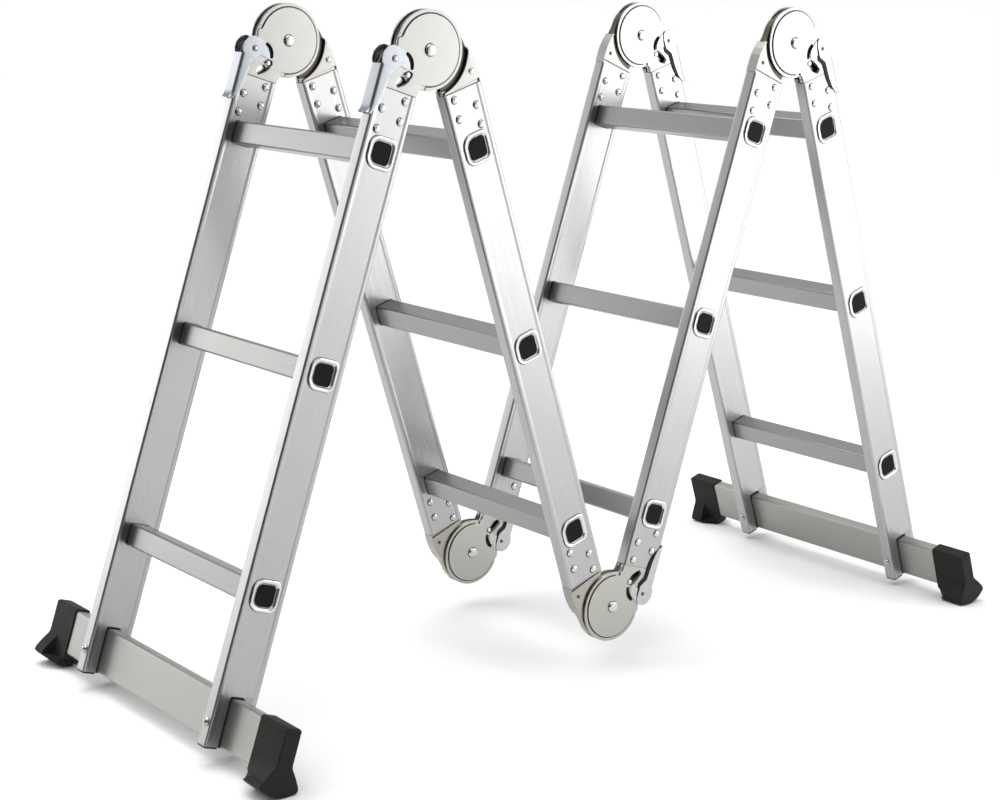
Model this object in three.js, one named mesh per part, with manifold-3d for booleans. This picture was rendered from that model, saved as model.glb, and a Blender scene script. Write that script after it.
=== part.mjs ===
// Multi position folding ladder: four sections of three rungs, joined by three
// pairs of locking hinges, standing in an M. Millimetres, +Z up, +X along the M,
// +Y along the rungs. Z = 0 is the floor under the four feet.
import * as THREE from "three";
import { mergeVertices } from "three/addons/utils/BufferGeometryUtils.js";
import Module from "manifold-3d";

// ---------------------------------------------------------------- dimensions
const LEAN = 18; // deg, every section leans this far from upright
const RUNG_PITCH = 280; // rung centre to rung centre along a rail
const HINGE_TO_RUNG = 140; // hinge axis to the nearest rung, along the rail
const RUNGS = 3; // per section
const RAIL_OFFSET = 32.2; // hinge axis to rail centre line, square to the rail
const RAIL_W = 60; // rail width, in the plane of the section's side
const RAIL_D = 19.5; // rail depth along the rungs
const BEAD = 7.5; // raised bead along each edge of the rail's wide faces
const SUNK = 0.8; // the wide faces lie this much below the beads
const WEB = 2.3; // bead face to the inside of the wide wall
const FLANGE = 1.5; // wall of the rail's narrow sides
const LADDER_W = 346.4; // outside to outside of the two rails
const RAIL_START = 62; // hinge axis to the sawn end of the rail
const OUTER_LEN = 895; // hinge axis to the foot end of an outer rail

const RUNG_S = 30; // rung tube, across the flats
const RUNG_BEVEL = 4.5;
const RUNG_WALL = 1.6;
const FLARE_S = 41; // rolled-out rim of a rung end
const FLARE_T = 2.0; // how far the rim stands off the rail

const DISC_R = 50; // outer hinge plates
const DISC_SEG = 22;
const BOSS_R = 44.3; // raised middle of an outer plate
const PLATE_T = 2.2;
const PLATE_Y = WEB + 0.3; // outside face of a hinge plate, below the rail face
const CAM_R = 40.5; // inner plate
const CAM_T = 4;
const LEAF_CUT_R = 57.5; // leaf plates are cut back to this round the disc

const PIN_R = 3.5; // lock pin
const PIN_AT = 44.3; // hinge axis to lock pin, locked
const PIN_DIR = 29.8; // deg from the arm
const PIN_TRAVEL = 9;
const LEVER_T = 25.5; // lever pivot, along the arm
const LEVER_S = 49; // lever pivot, across the arm
const LEVER_GAP = 0.6;
const LEVER_SHEET = 1.2;

const BAR_T = 19; // stabiliser bar, thickness
const BAR_H = 62;
const BAR_TOP = 831; // hinge axis to the bar's upper edge, along the rail
const BAR_WALL = 1.6;
const SLOT_W = 21.2; // slot in the rail end
const BOLT_AT = 864.5;
const FOOT_IN = 72; // rail face to the foot's inner end
const FOOT_OUT = 130; // rail face to the foot's outer end
const FOOT_W = 23;
const SOLE_R = 47;
const SOLE_C = 866; // centre of the rocker sole, along the rail
const GAP = 0.3;

const rad = (d) => (d * Math.PI) / 180;
const cL = Math.cos(rad(LEAN));
const sL = Math.sin(rad(LEAN));
const SECTION = 2 * HINGE_TO_RUNG + (RUNGS - 1) * RUNG_PITCH; // hinge to hinge
const MID = RAIL_D / 2;

// lowest facet of the rocker sole lies flat on the floor
const Z_TOP =
  SOLE_R * Math.cos(rad(6)) + SOLE_C * cL - RAIL_OFFSET * sL;
const HX = 2 * RAIL_OFFSET * cL + SECTION * sL;
const Z_LOW = Z_TOP + 2 * RAIL_OFFSET * sL - SECTION * cL;
const HINGES = { AB: [-HX, Z_TOP], BC: [0, Z_LOW], CD: [HX, Z_TOP] };
const Y_NEAR = -LADDER_W / 2;
const Y_FAR = LADDER_W / 2 - RAIL_D;

// ---------------------------------------------------------------- solids
const wasm = await Module();
wasm.setup();
const { Manifold, Mesh } = wasm;

function solid(geometry) {
  let g = geometry.index ? geometry.toNonIndexed() : geometry.clone();
  for (const k of Object.keys(g.attributes)) if (k !== "position") g.deleteAttribute(k);
  g = mergeVertices(g, 1e-4);
  return new Manifold(
    new Mesh({
      numProp: 3,
      vertProperties: new Float32Array(g.attributes.position.array),
      triVerts: new Uint32Array(g.index.array),
    }),
  );
}

function toGeometry(m) {
  const mesh = m.getMesh();
  const g = new THREE.BufferGeometry();
  const n = mesh.numProp;
  const pos = new Float32Array((mesh.vertProperties.length / n) * 3);
  for (let i = 0; i < pos.length / 3; i++)
    for (let k = 0; k < 3; k++) pos[3 * i + k] = mesh.vertProperties[n * i + k];
  g.setAttribute("position", new THREE.BufferAttribute(pos, 3));
  g.setIndex(new THREE.BufferAttribute(new Uint32Array(mesh.triVerts), 1));
  const flat = g.toNonIndexed();
  flat.computeVertexNormals();
  return flat;
}

const union = (list) => list.reduce((a, b) => a.add(b));
const cut = (a, list) => list.reduce((x, y) => x.subtract(y), a);

function shapeOf(points) {
  const area = THREE.ShapeUtils.area(points.map((p) => new THREE.Vector2(p[0], p[1])));
  const list = area < 0 ? [...points].reverse() : points;
  return new THREE.Shape(list.map((p) => new THREE.Vector2(p[0], p[1])));
}

// outline in (x, z), from y0 to y1
function plate(points, y0, y1) {
  const g = new THREE.ExtrudeGeometry(shapeOf(points), {
    depth: y1 - y0,
    bevelEnabled: false,
    steps: 1,
  });
  g.rotateX(Math.PI / 2);
  g.translate(0, y1, 0);
  return solid(g);
}

// outline in (x, y), from z0 to z1
function column(points, z0, z1) {
  const g = new THREE.ExtrudeGeometry(shapeOf(points), {
    depth: z1 - z0,
    bevelEnabled: false,
    steps: 1,
  });
  g.translate(0, 0, z0);
  return solid(g);
}

// outline in (y, z), from x0 to x1
function beam(points, x0, x1) {
  const g = new THREE.ExtrudeGeometry(shapeOf(points), {
    depth: x1 - x0,
    bevelEnabled: false,
    steps: 1,
  });
  g.rotateX(Math.PI / 2);
  g.rotateZ(Math.PI / 2);
  g.translate(x0, 0, 0);
  return solid(g);
}

function block(x0, x1, y0, y1, z0, z1) {
  const g = new THREE.BoxGeometry(x1 - x0, y1 - y0, z1 - z0);
  g.translate((x0 + x1) / 2, (y0 + y1) / 2, (z0 + z1) / 2);
  return solid(g);
}

const ring = (n, r, x = 0, z = 0, turn = 0) =>
  Array.from({ length: n }, (_, i) => {
    const a = ((i + 0.5) / n) * 2 * Math.PI + turn;
    return [x + r * Math.cos(a), z + r * Math.sin(a)];
  });

const bevelled = (half, b) => [
  [half, -half + b],
  [half, half - b],
  [half - b, half],
  [-half + b, half],
  [-half, half - b],
  [-half, -half + b],
  [-half + b, -half],
  [half - b, -half],
];

// surface through rings of equal count, closed at both ends
function loft(rings) {
  const n = rings[0].length;
  const pos = rings.flat(2);
  const idx = [];
  for (let r = 0; r < rings.length - 1; r++)
    for (let i = 0; i < n; i++) {
      const a = r * n + i;
      const b = r * n + ((i + 1) % n);
      idx.push(a, b, a + n, b, b + n, a + n);
    }
  const last = (rings.length - 1) * n;
  for (let i = 1; i < n - 1; i++) {
    idx.push(0, i + 1, i);
    idx.push(last, last + i, last + i + 1);
  }
  const g = new THREE.BufferGeometry();
  g.setAttribute("position", new THREE.Float32BufferAttribute(pos, 3));
  g.setIndex(idx);
  return g;
}

// ring in (x, z) at height y, wound so that a loft towards +y faces outward
const ringAt = (points, y) => [...points].reverse().map(([x, z]) => [x, y, z]);

// ---------------------------------------------------------------- finishes
const finish = {
  rail: () => new THREE.MeshStandardMaterial({ color: 0xe6e6e6, roughness: 0.34, metalness: 0.85 }),
  rung: () => new THREE.MeshStandardMaterial({ color: 0xc4c3c1, roughness: 0.4, metalness: 0.85 }),
  bar: () => new THREE.MeshStandardMaterial({ color: 0xd8d7d3, roughness: 0.38, metalness: 0.85 }),
  plated: () => new THREE.MeshStandardMaterial({ color: 0xcfcdc4, roughness: 0.3, metalness: 0.95 }),
  leaf: () => new THREE.MeshStandardMaterial({ color: 0xc8c6bd, roughness: 0.34, metalness: 0.95 }),
  lever: () => new THREE.MeshStandardMaterial({ color: 0xc9ced2, roughness: 0.25, metalness: 0.95 }),
  pin: () => new THREE.MeshStandardMaterial({ color: 0xdadada, roughness: 0.2, metalness: 1.0 }),
  bolt: () => new THREE.MeshStandardMaterial({ color: 0x9a9488, roughness: 0.35, metalness: 0.95 }),
  foot: () => new THREE.MeshStandardMaterial({ color: 0x2f2f2e, roughness: 0.72, metalness: 0.0 }),
};

// ---------------------------------------------------------------- pieces
// A section's own frame: origin on its upper hinge axis, x square to the rails
// (m = 1 towards +x, m = -1 towards -x), z = -t down the rails, y from the
// outer face of the near rail.

const rivets = [
  [70.8, 16.5],
  [96.3, 16.5],
  [87.5, 47.4],
  [113.2, 47.4],
];

function rivetHead(x, z, y, out) {
  // low domed head standing off the sunk face at y, towards out
  const r = 5.2;
  const a = ringAt(ring(6, r, x, z), 0);
  const b = ringAt(ring(6, r * 0.68, x, z), 0);
  const y0 = y - 0.4 * out;
  const y1 = y + 1.9 * out;
  const lift = (q, yy) => q.map((p) => [p[0], yy, p[2]]);
  return solid(loft(out > 0 ? [lift(a, y0), lift(b, y1)] : [lift(b, y1), lift(a, y0)]));
}

function rail(m, outer) {
  const c = RAIL_OFFSET * m;
  const h = RAIL_W / 2;
  const D = RAIL_D;
  const k = 0.7;
  const i0 = h - BEAD;
  const end = outer ? OUTER_LEN : SECTION - RAIL_START;
  const outline = [
    [-h + k, 0], [-i0, 0], [-i0 + SUNK, SUNK], [i0 - SUNK, SUNK], [i0, 0], [h - k, 0],
    [h, k], [h, D - k],
    [h - k, D], [i0, D], [i0 - SUNK, D - SUNK], [-i0 + SUNK, D - SUNK], [-i0, D], [-h + k, D],
    [-h, D - k], [-h, k],
  ].map(([x, y]) => [x + c, y]);
  let body = column(outline, -end, -RAIL_START);
  body = body.subtract(
    block(c - h + FLANGE, c + h - FLANGE, WEB, D - WEB, -end - 1, -RAIL_START + 1),
  );
  const add = [];
  if (outer) {
    // flush fill of the sunk faces beside the slot
    for (const y of [[0, WEB], [D - WEB, D]]) {
      add.push(block(c - h + 1, c + h - 1, y[0], y[1], -end, -BAR_TOP + 2));
    }
  }
  for (const [t, s] of rivets) {
    const spots = outer ? [[s, t]] : [[s, t], [2 * RAIL_OFFSET - s, SECTION - t]];
    for (const [x, z] of spots) {
      add.push(rivetHead(x * m, -z, SUNK, -1));
      add.push(rivetHead(x * m, -z, D - SUNK, 1));
    }
  }
  body = union([body, ...add]);
  const holes = [];
  for (let i = 0; i < RUNGS; i++) {
    const z = -(HINGE_TO_RUNG + i * RUNG_PITCH);
    const o = bevelled(RUNG_S / 2 + GAP, RUNG_BEVEL).map(([x, q]) => [x + c, q + z]);
    holes.push(plate(o, -3, D + 3));
  }
  if (outer) {
    holes.push(block(c - SLOT_W / 2, c + SLOT_W / 2, -1, D + 1, -end - 1, -BAR_TOP + 1));
    holes.push(beam(ring(6, 3.4, MID, -BOLT_AT), c - h - 1, c + h + 1));
  }
  return cut(body, holes);
}

function rung() {
  // centred on x = 0, z = 0, from the near rail's face to the far one's
  const L = LADDER_W;
  const b = RUNG_BEVEL;
  const at = (half, y, bb = b) => ringAt(bevelled(half, bb), y);
  const s = RUNG_S / 2;
  const f = FLARE_S / 2;
  const lip = 0.3; // rim's back to the rail's sunk face
  const y0 = SUNK - lip;
  const outer = loft([
    at(f - 0.9, y0 - FLARE_T, 7.2), at(f, y0, 7.5), at(s, y0 + 0.01),
    at(s, L - y0 - 0.01), at(f, L - y0, 7.5), at(f - 0.9, L - y0 + FLARE_T, 7.2),
  ]);
  const w = s - RUNG_WALL;
  const inner = loft([
    at(w + 2.8, y0 - FLARE_T - 0.01, 5.5), at(w, y0 - 0.2, 3.8), at(w, L - y0 + 0.2, 3.8),
    at(w + 2.8, L - y0 + FLARE_T + 0.01, 5.5),
  ]);
  return solid(outer).subtract(solid(inner));
}

// a hinge's own frame: axis on x = 0, z = 0, arm down (z = -t), y from the
// outer face of the rail it belongs to
const ts = (m, list) => list.map(([t, s]) => [m * s, -t]);
const both = (fn) => [fn((y) => y), fn((y) => RAIL_D - y)];
const slab = (points, ya, yb) => plate(points, Math.min(ya, yb), Math.max(ya, yb));

function pinSlot(m, grow) {
  // straight slot from the locked to the released place of the pin
  const a = rad(PIN_DIR);
  const r = PIN_R + grow;
  const out = [];
  const u = [Math.cos(a), Math.sin(a)];
  const v = [-u[1], u[0]];
  const r0 = PIN_AT - 0.2;
  const r1 = PIN_AT + PIN_TRAVEL + 0.2;
  for (const d of [-90, -135, 180, 135, 90]) {
    const q = rad(d);
    out.push([r0 * u[0] + r * (Math.cos(q) * u[0] + Math.sin(q) * v[0]), r0 * u[1] + r * (Math.cos(q) * u[1] + Math.sin(q) * v[1])]);
  }
  for (const d of [90, 45, 0, -45, -90]) {
    const q = rad(d);
    out.push([r1 * u[0] + r * (Math.cos(q) * u[0] + Math.sin(q) * v[0]), r1 * u[1] + r * (Math.cos(q) * u[1] + Math.sin(q) * v[1])]);
  }
  return ts(m, out);
}

// outer half: two round plates with arms that run into the rail, an ear for
// the lever, and a spacer block between the arms' ends
function outerHalf(m) {
  const list = [];
  const arm = ts(m, [
    [40, 1.2], [61, 2.2], [61.8, 4.2], [119, 4.2], [119, 60.2], [61.8, 60.2],
    [61, 61], [38, 61], [24, 58.5], [17.5, 53.5], [15.5, 46], [10, 30],
  ]);
  for (const f of both((q) => q)) {
    list.push(slab(arm, f(PLATE_Y), f(PLATE_Y + PLATE_T)));
    list.push(slab(ring(DISC_SEG, DISC_R), f(PLATE_Y), f(MID - CAM_T / 2 - 0.5)));
    list.push(slab(ring(DISC_SEG, BOSS_R), f(0.4), f(PLATE_Y + 1)));
  }
  list.push(
    block(Math.min(m * 8, m * 56), Math.max(m * 8, m * 56), PLATE_Y + 1, RAIL_D - PLATE_Y - 1, -118, -98),
  );
  const holes = [
    plate(ring(10, 6.4), -1, RAIL_D + 1),
    plate(ring(6, 3.5, m * LEVER_S, -LEVER_T), -1, RAIL_D + 1),
    plate(pinSlot(m, 0.4), -1, RAIL_D + 1),
    // curved window beside the lever's nose
    plate(ts(m, [[12.5, 32], [16, 25], [22.5, 19.8], [30, 18.2], [31, 21.5], [25, 23.8], [20, 28], [16.5, 33.5]]), -1, RAIL_D + 1),
  ];
  return cut(union(list), holes);
}

// inner half: leaf plates in the rail's planes, cut back round the disc, the
// curved wall that joins them, and the inner plate on the axle
function innerHalf(m) {
  const wallOut = [
    [-11, 51.6], [0, 52.8], [8, 53.4], [16, 55.9], [26, 59.2], [36, 61.2], [46, 62.1], [61.7, 62.1],
  ];
  const wallIn = [
    [61.7, 60], [46, 60], [36.6, 59.2], [27, 57.2], [17, 54], [8.4, 51.4], [0, 50.8], [-10.6, 49.7],
  ];
  const leaf = ts(m, [
    [61.7, 62.1], [46, 62.1], [36, 61.2], [26, 59.2], [16, 55.9],
    ...[72, 62, 50, 38, 26, 14, 4].map((a) => [LEAF_CUT_R * Math.cos(rad(a)), LEAF_CUT_R * Math.sin(rad(a))]),
    [61.7, 3], [61.9, 4.2], [119, 4.2], [119, 60.2], [61.9, 60.2],
  ]);
  const list = [plate(ts(m, [...wallOut, ...wallIn]), PLATE_Y, RAIL_D - PLATE_Y)];
  for (const f of both((q) => q)) list.push(slab(leaf, f(PLATE_Y), f(PLATE_Y + PLATE_T)));
  const y0 = MID - CAM_T / 2;
  const y1 = MID + CAM_T / 2;
  list.push(plate(ring(16, CAM_R), y0, y1));
  list.push(plate(ts(m, [[5, 38], [22, 56.8], [36, 59.6], [100, 56], [100, 8], [36, 8]]), y0, y1));
  list.push(
    block(Math.min(m * 8, m * 56), Math.max(m * 8, m * 56), PLATE_Y + 1, RAIL_D - PLATE_Y - 1, -118, -98),
  );
  // rivet through leaves and inner plate
  list.push(plate(ring(6, 4.6, m * 52, -45), 1.1, RAIL_D - 1.1));
  return union(list).subtract(plate(ring(10, 6.4), -1, RAIL_D + 1));
}

function pivot() {
  const y0 = 0.4 - GAP;
  const D = RAIL_D;
  const n = 10;
  const s = ring(n, 6);
  const h = ring(n, 8);
  const d = ring(n, 5);
  return solid(
    loft([
      ringAt(d, y0 - 3.4), ringAt(h, y0 - 1), ringAt(h, y0), ringAt(s, y0 + 0.001),
      ringAt(s, D - y0 - 0.001), ringAt(h, D - y0), ringAt(h, D - y0 + 1), ringAt(d, D - y0 + 3.4),
    ]),
  );
}

function lever(m) {
  const out = ts(m, [
    [8, 43], [21, 40.5], [36, 41], [46, 50.5], [70, 51.8], [84, 54.6], [92, 58], [97.5, 62.5],
    [97.5, 65.8], [36, 65.8], [30, 67.4], [22, 67], [13, 62.5], [8, 55],
  ]);
  const y0 = -LEVER_GAP - LEVER_SHEET;
  const y1 = RAIL_D + LEVER_GAP + LEVER_SHEET;
  const w = [m * 64.3, m * 65.8];
  return union([
    plate(out, y0, -LEVER_GAP),
    plate(out, RAIL_D + LEVER_GAP, y1),
    block(Math.min(...w), Math.max(...w), y0, y1, -97.5, -36),
    plate(ring(6, 3, m * LEVER_S, -LEVER_T), y0 + 0.3, y1 - 0.3),
    plate(ring(6, 4.8, m * LEVER_S, -LEVER_T), y0 - 1.3, y0 + 0.2),
    plate(ring(6, 4.8, m * LEVER_S, -LEVER_T), y1 - 0.2, y1 + 1.3),
  ]);
}

function lockPin() {
  return plate(ring(8, PIN_R), 1.2, RAIL_D - 1.2);
}

// stabiliser bar, centred on x = 0, upper edge at z = -BAR_TOP
function bar() {
  const h = BAR_T / 2;
  const k = 1.6;
  const z1 = -BAR_TOP;
  const z0 = z1 - BAR_H;
  const o = (d, kk) => [
    [-h + d + kk, z0 + d], [h - d - kk, z0 + d], [h - d, z0 + d + kk], [h - d, z1 - d - kk],
    [h - d - kk, z1 - d], [-h + d + kk, z1 - d], [-h + d, z1 - d - kk], [-h + d, z0 + d + kk],
  ];
  const ya = -(FOOT_OUT - 3.5);
  const yb = LADDER_W + FOOT_OUT - 3.5;
  const holes = [MID, LADDER_W - MID].map((y) => beam(ring(6, 3.4, y, -BOLT_AT), -h - 1, h + 1));
  return cut(plate(o(0, k), ya, yb), [plate(o(BAR_WALL, 0.8), ya - 1, yb + 1), ...holes]);
}

// foot over the bar's near end, centred on x = 0
function foot() {
  const h = FOOT_W / 2;
  const top = BAR_TOP - 2.7;
  const edge = SOLE_R * Math.sin(rad(36));
  const half = [[top, h - 4.5], [top + 4.5, h], [876, h], [899, edge]];
  const sole = [36, 24, 12, 0, -12, -24, -36].map((a) => [
    SOLE_C + SOLE_R * Math.cos(rad(a)),
    SOLE_R * Math.sin(rad(a)),
  ]);
  const outline = [...half, ...sole, ...[...half].reverse().map(([t, s]) => [t, -s])];
  const body = plate(ts(1, outline), -FOOT_OUT, -FOOT_IN);
  const z0 = -BAR_TOP - BAR_H - GAP;
  const holes = [
    block(-BAR_T / 2 - GAP, BAR_T / 2 + GAP, -FOOT_OUT + 3.2, -FOOT_IN + 1, z0, -BAR_TOP + GAP),
  ];
  // the flare starts further out along the bar on each side
  for (const q of [1, -1])
    holes.push(
      column(
        [[q * (h + 0.01), -FOOT_IN + 1], [q * (h + 0.01), -FOOT_IN], [q * 28.5, -FOOT_IN - 24], [q * 28.5, -FOOT_IN + 1]],
        -915,
        -870,
      ),
    );
  return cut(body, holes);
}

// bolt along x through the rail end and the bar: head on the -x side
function bolt() {
  const h = RAIL_W / 2;
  const n = 8;
  const head = ring(n, 6, MID, -BOLT_AT);
  const nut = ring(6, 5.8, MID, -BOLT_AT);
  return union([
    beam(ring(6, 3, MID, -BOLT_AT), -h - 2, h + 5.4),
    beam(head, -h - 4.2, -h - GAP),
    beam(nut, h + GAP, h + 4.6),
  ]);
}

// ---------------------------------------------------------------- assembly
const ladder = new THREE.Group();
ladder.name = "multi_position_ladder";

function put(parent, name, shape, material, at = [0, 0, 0], turn = 0) {
  const g = toGeometry(shape);
  const mesh = new THREE.Mesh(g, material);
  mesh.name = name;
  mesh.position.set(...at);
  mesh.rotation.set(0, 0, turn);
  parent.add(mesh);
  return mesh;
}

function frame(name, [x, z], deg) {
  const g = new THREE.Group();
  g.name = name;
  g.position.set(x, 0, z);
  g.rotation.y = rad(deg);
  ladder.add(g);
  return g;
}

const shapes = {};
const once = (key, make) => (shapes[key] ??= make());

// sections, each in the frame of its upper hinge
const sections = [
  ["a", "AB", LEAN, -1, true],
  ["b", "AB", -LEAN, 1, false],
  ["c", "CD", LEAN, -1, false],
  ["d", "CD", -LEAN, 1, true],
];
const sides = [["near", Y_NEAR], ["far", Y_FAR]];

for (const [id, hinge, deg, m, outer] of sections) {
  const g = frame(`section_${id}`, HINGES[hinge], deg);
  for (const [side, y] of sides)
    put(g, `rail_${id}_${side}`, once(`rail${m}${outer}`, () => rail(m, outer)), finish.rail(), [0, y, 0]);
  for (let i = 0; i < RUNGS; i++)
    put(g, `rung_${id}${i + 1}`, once("rung", rung), finish.rung(), [
      m * RAIL_OFFSET, Y_NEAR, -(HINGE_TO_RUNG + i * RUNG_PITCH),
    ]);
  if (outer) {
    const x = m * RAIL_OFFSET;
    put(g, `stabiliser_bar_${id}`, once("bar", bar), finish.bar(), [x, Y_NEAR, 0]);
    put(g, `foot_${id}_near`, once("foot", foot), finish.foot(), [x, Y_NEAR, 0]);
    put(g, `foot_${id}_far`, once("foot", foot), finish.foot(), [x, -Y_NEAR, 0], Math.PI);
    for (const [side, y] of sides)
      put(g, `bar_bolt_${id}_${side}`, once("bolt", bolt), finish.bolt(), [x, y, 0]);
  }
}

// hinges: [axis, outer half's turn and side, inner half's turn and side]
const sets = [
  ["ab", "AB", LEAN, -1, -LEAN, 1],
  ["bc", "BC", LEAN - 180, -1, 180 - LEAN, 1],
  ["cd", "CD", -LEAN, 1, LEAN, -1],
];
const pinAt = (m) => [
  m * PIN_AT * Math.sin(rad(PIN_DIR)),
  -PIN_AT * Math.cos(rad(PIN_DIR)),
];
for (const [id, hinge, turnO, mO, turnI, mI] of sets) {
  const o = frame(`hinge_${id}_outer`, HINGES[hinge], turnO);
  const i = frame(`hinge_${id}_inner`, HINGES[hinge], turnI);
  for (const [side, y] of sides) {
    put(o, `hinge_${id}_${side}_outer`, once(`outer${mO}`, () => outerHalf(mO)), finish.plated(), [0, y, 0]);
    put(i, `hinge_${id}_${side}_inner`, once(`inner${mI}`, () => innerHalf(mI)), finish.leaf(), [0, y, 0]);
    put(o, `hinge_${id}_${side}_pivot`, once("pivot", pivot), finish.pin(), [0, y, 0]);
    put(o, `hinge_${id}_${side}_lever`, once(`lever${mO}`, () => lever(mO)), finish.lever(), [0, y, 0]);
    const [px, pz] = pinAt(mO);
    put(o, `hinge_${id}_${side}_lock_pin`, once("pin", lockPin), finish.pin(), [px, y, pz]);
  }
}

export default ladder;
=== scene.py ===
import math

import bmesh
import bpy
from mathutils import Matrix, Vector
from mathutils.geometry import tessellate_polygon


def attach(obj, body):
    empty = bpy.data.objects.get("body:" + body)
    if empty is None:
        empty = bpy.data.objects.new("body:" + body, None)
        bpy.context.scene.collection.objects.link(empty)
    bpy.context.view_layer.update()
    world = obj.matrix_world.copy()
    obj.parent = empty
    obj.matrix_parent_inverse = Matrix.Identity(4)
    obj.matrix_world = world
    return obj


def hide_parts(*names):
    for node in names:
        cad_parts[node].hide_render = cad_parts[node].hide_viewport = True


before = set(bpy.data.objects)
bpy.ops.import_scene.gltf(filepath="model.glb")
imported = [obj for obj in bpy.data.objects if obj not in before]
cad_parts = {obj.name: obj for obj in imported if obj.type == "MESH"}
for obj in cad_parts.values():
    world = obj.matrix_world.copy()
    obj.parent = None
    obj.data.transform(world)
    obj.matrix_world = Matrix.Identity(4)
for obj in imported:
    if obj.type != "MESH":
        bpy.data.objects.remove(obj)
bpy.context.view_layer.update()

# ------------------------------------------------------------------ sizes, mm
LEAN = 18.0
RAIL_OFFSET = 32.2
SECTION = 840.0
RAIL_D = 19.5
LADDER_W = 346.4
RAIL_START = 62.0
OUTER_LEN = 895.0
RUNG_AT = (140.0, 420.0, 700.0)
BAR_TOP = 831.0
BAR_H = 62.0
BAR_T = 19.0
BOLT_AT = 864.5
SOLE_R = 47.0
SOLE_C = 866.0
FOOT_IN, FOOT_OUT = 72.0, 130.0
MID = RAIL_D / 2
_r = math.radians(LEAN)
Z_TOP = SOLE_R * math.cos(math.radians(6)) + SOLE_C * math.cos(_r) - RAIL_OFFSET * math.sin(_r)
HX = 2 * RAIL_OFFSET * math.cos(_r) + SECTION * math.sin(_r)
Z_LOW = Z_TOP + 2 * RAIL_OFFSET * math.sin(_r) - SECTION * math.cos(_r)
HINGE = {"ab": (-HX, Z_TOP), "bc": (0.0, Z_LOW), "cd": (HX, Z_TOP)}
Y_NEAR = -LADDER_W / 2
Y_FAR = LADDER_W / 2 - RAIL_D
SIDES = (("near", Y_NEAR), ("far", Y_FAR))


# ------------------------------------------------------------------ mesh code
def place(hinge, deg, x=0.0, y=0.0, z=0.0):
    """World matrix of a local frame: origin on a hinge axis, turned about Y."""
    hx, hz = HINGE[hinge]
    return (
        Matrix.Translation((hx / 1000, 0, hz / 1000))
        @ Matrix.Rotation(math.radians(deg), 4, "Y")
        @ Matrix.Translation((x / 1000, y / 1000, z / 1000))
    )


def area2(p):
    return sum(p[i][0] * p[(i + 1) % len(p)][1] - p[(i + 1) % len(p)][0] * p[i][1] for i in range(len(p)))


def ccw(p):
    return list(p) if area2(p) > 0 else list(reversed(p))


def offset(p, d):
    """Moves a counter-clockwise outline inwards by d, mitred."""
    n = len(p)
    out = []
    for i in range(n):
        a, b, c = p[i - 1], p[i], p[(i + 1) % n]
        e1 = (b[0] - a[0], b[1] - a[1])
        e2 = (c[0] - b[0], c[1] - b[1])
        l1 = math.hypot(*e1) or 1e-9
        l2 = math.hypot(*e2) or 1e-9
        n1 = (-e1[1] / l1, e1[0] / l1)
        n2 = (-e2[1] / l2, e2[0] / l2)
        k = 1 + n1[0] * n2[0] + n1[1] * n2[1]
        k = max(k, 0.35)
        out.append((b[0] + d * (n1[0] + n2[0]) / k, b[1] + d * (n1[1] + n2[1]) / k))
    return out


def rounded(pts, r, seg=5, fixed=False):
    """Outline with its corners rounded. r is one radius or one for each corner. fixed keeps the same number of points at every corner."""
    n = len(pts)
    rs = r if isinstance(r, (list, tuple)) else [r] * n
    out = []
    for i in range(n):
        a, b, c = Vector(pts[i - 1]), Vector(pts[i]), Vector(pts[(i + 1) % n])
        u, v = (a - b), (c - b)
        lu, lv = u.length, v.length
        u.normalize()
        v.normalize()
        ang = u.angle(v) if lu > 1e-6 and lv > 1e-6 else math.pi
        if rs[i] <= 0 or ang > math.radians(176):
            out += [(b.x, b.y)] * (seg + 1 if fixed else 1)
            continue
        t = min(rs[i] / math.tan(ang / 2), lu * 0.48, lv * 0.48)
        rad = t * math.tan(ang / 2)
        p0, p1 = b + u * t, b + v * t
        centre = b + (u + v).normalized() * (rad / math.sin(ang / 2))
        a0 = math.atan2(p0.y - centre.y, p0.x - centre.x)
        a1 = math.atan2(p1.y - centre.y, p1.x - centre.x)
        da = (a1 - a0 + math.pi) % (2 * math.pi) - math.pi
        for k in range(seg + 1):
            q = a0 + da * k / seg
            out.append((centre.x + rad * math.cos(q), centre.y + rad * math.sin(q)))
    return out


def circle(r, n, cx=0.0, cy=0.0, a0=0.0):
    return [(cx + r * math.cos(a0 + 2 * math.pi * i / n), cy + r * math.sin(a0 + 2 * math.pi * i / n)) for i in range(n)]


def arc(r, a0, a1, n, cx=0.0, cy=0.0):
    """Points on an arc, degrees."""
    return [
        (cx + r * math.cos(math.radians(a0 + (a1 - a0) * i / n)), cy + r * math.sin(math.radians(a0 + (a1 - a0) * i / n)))
        for i in range(n + 1)
    ]


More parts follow.
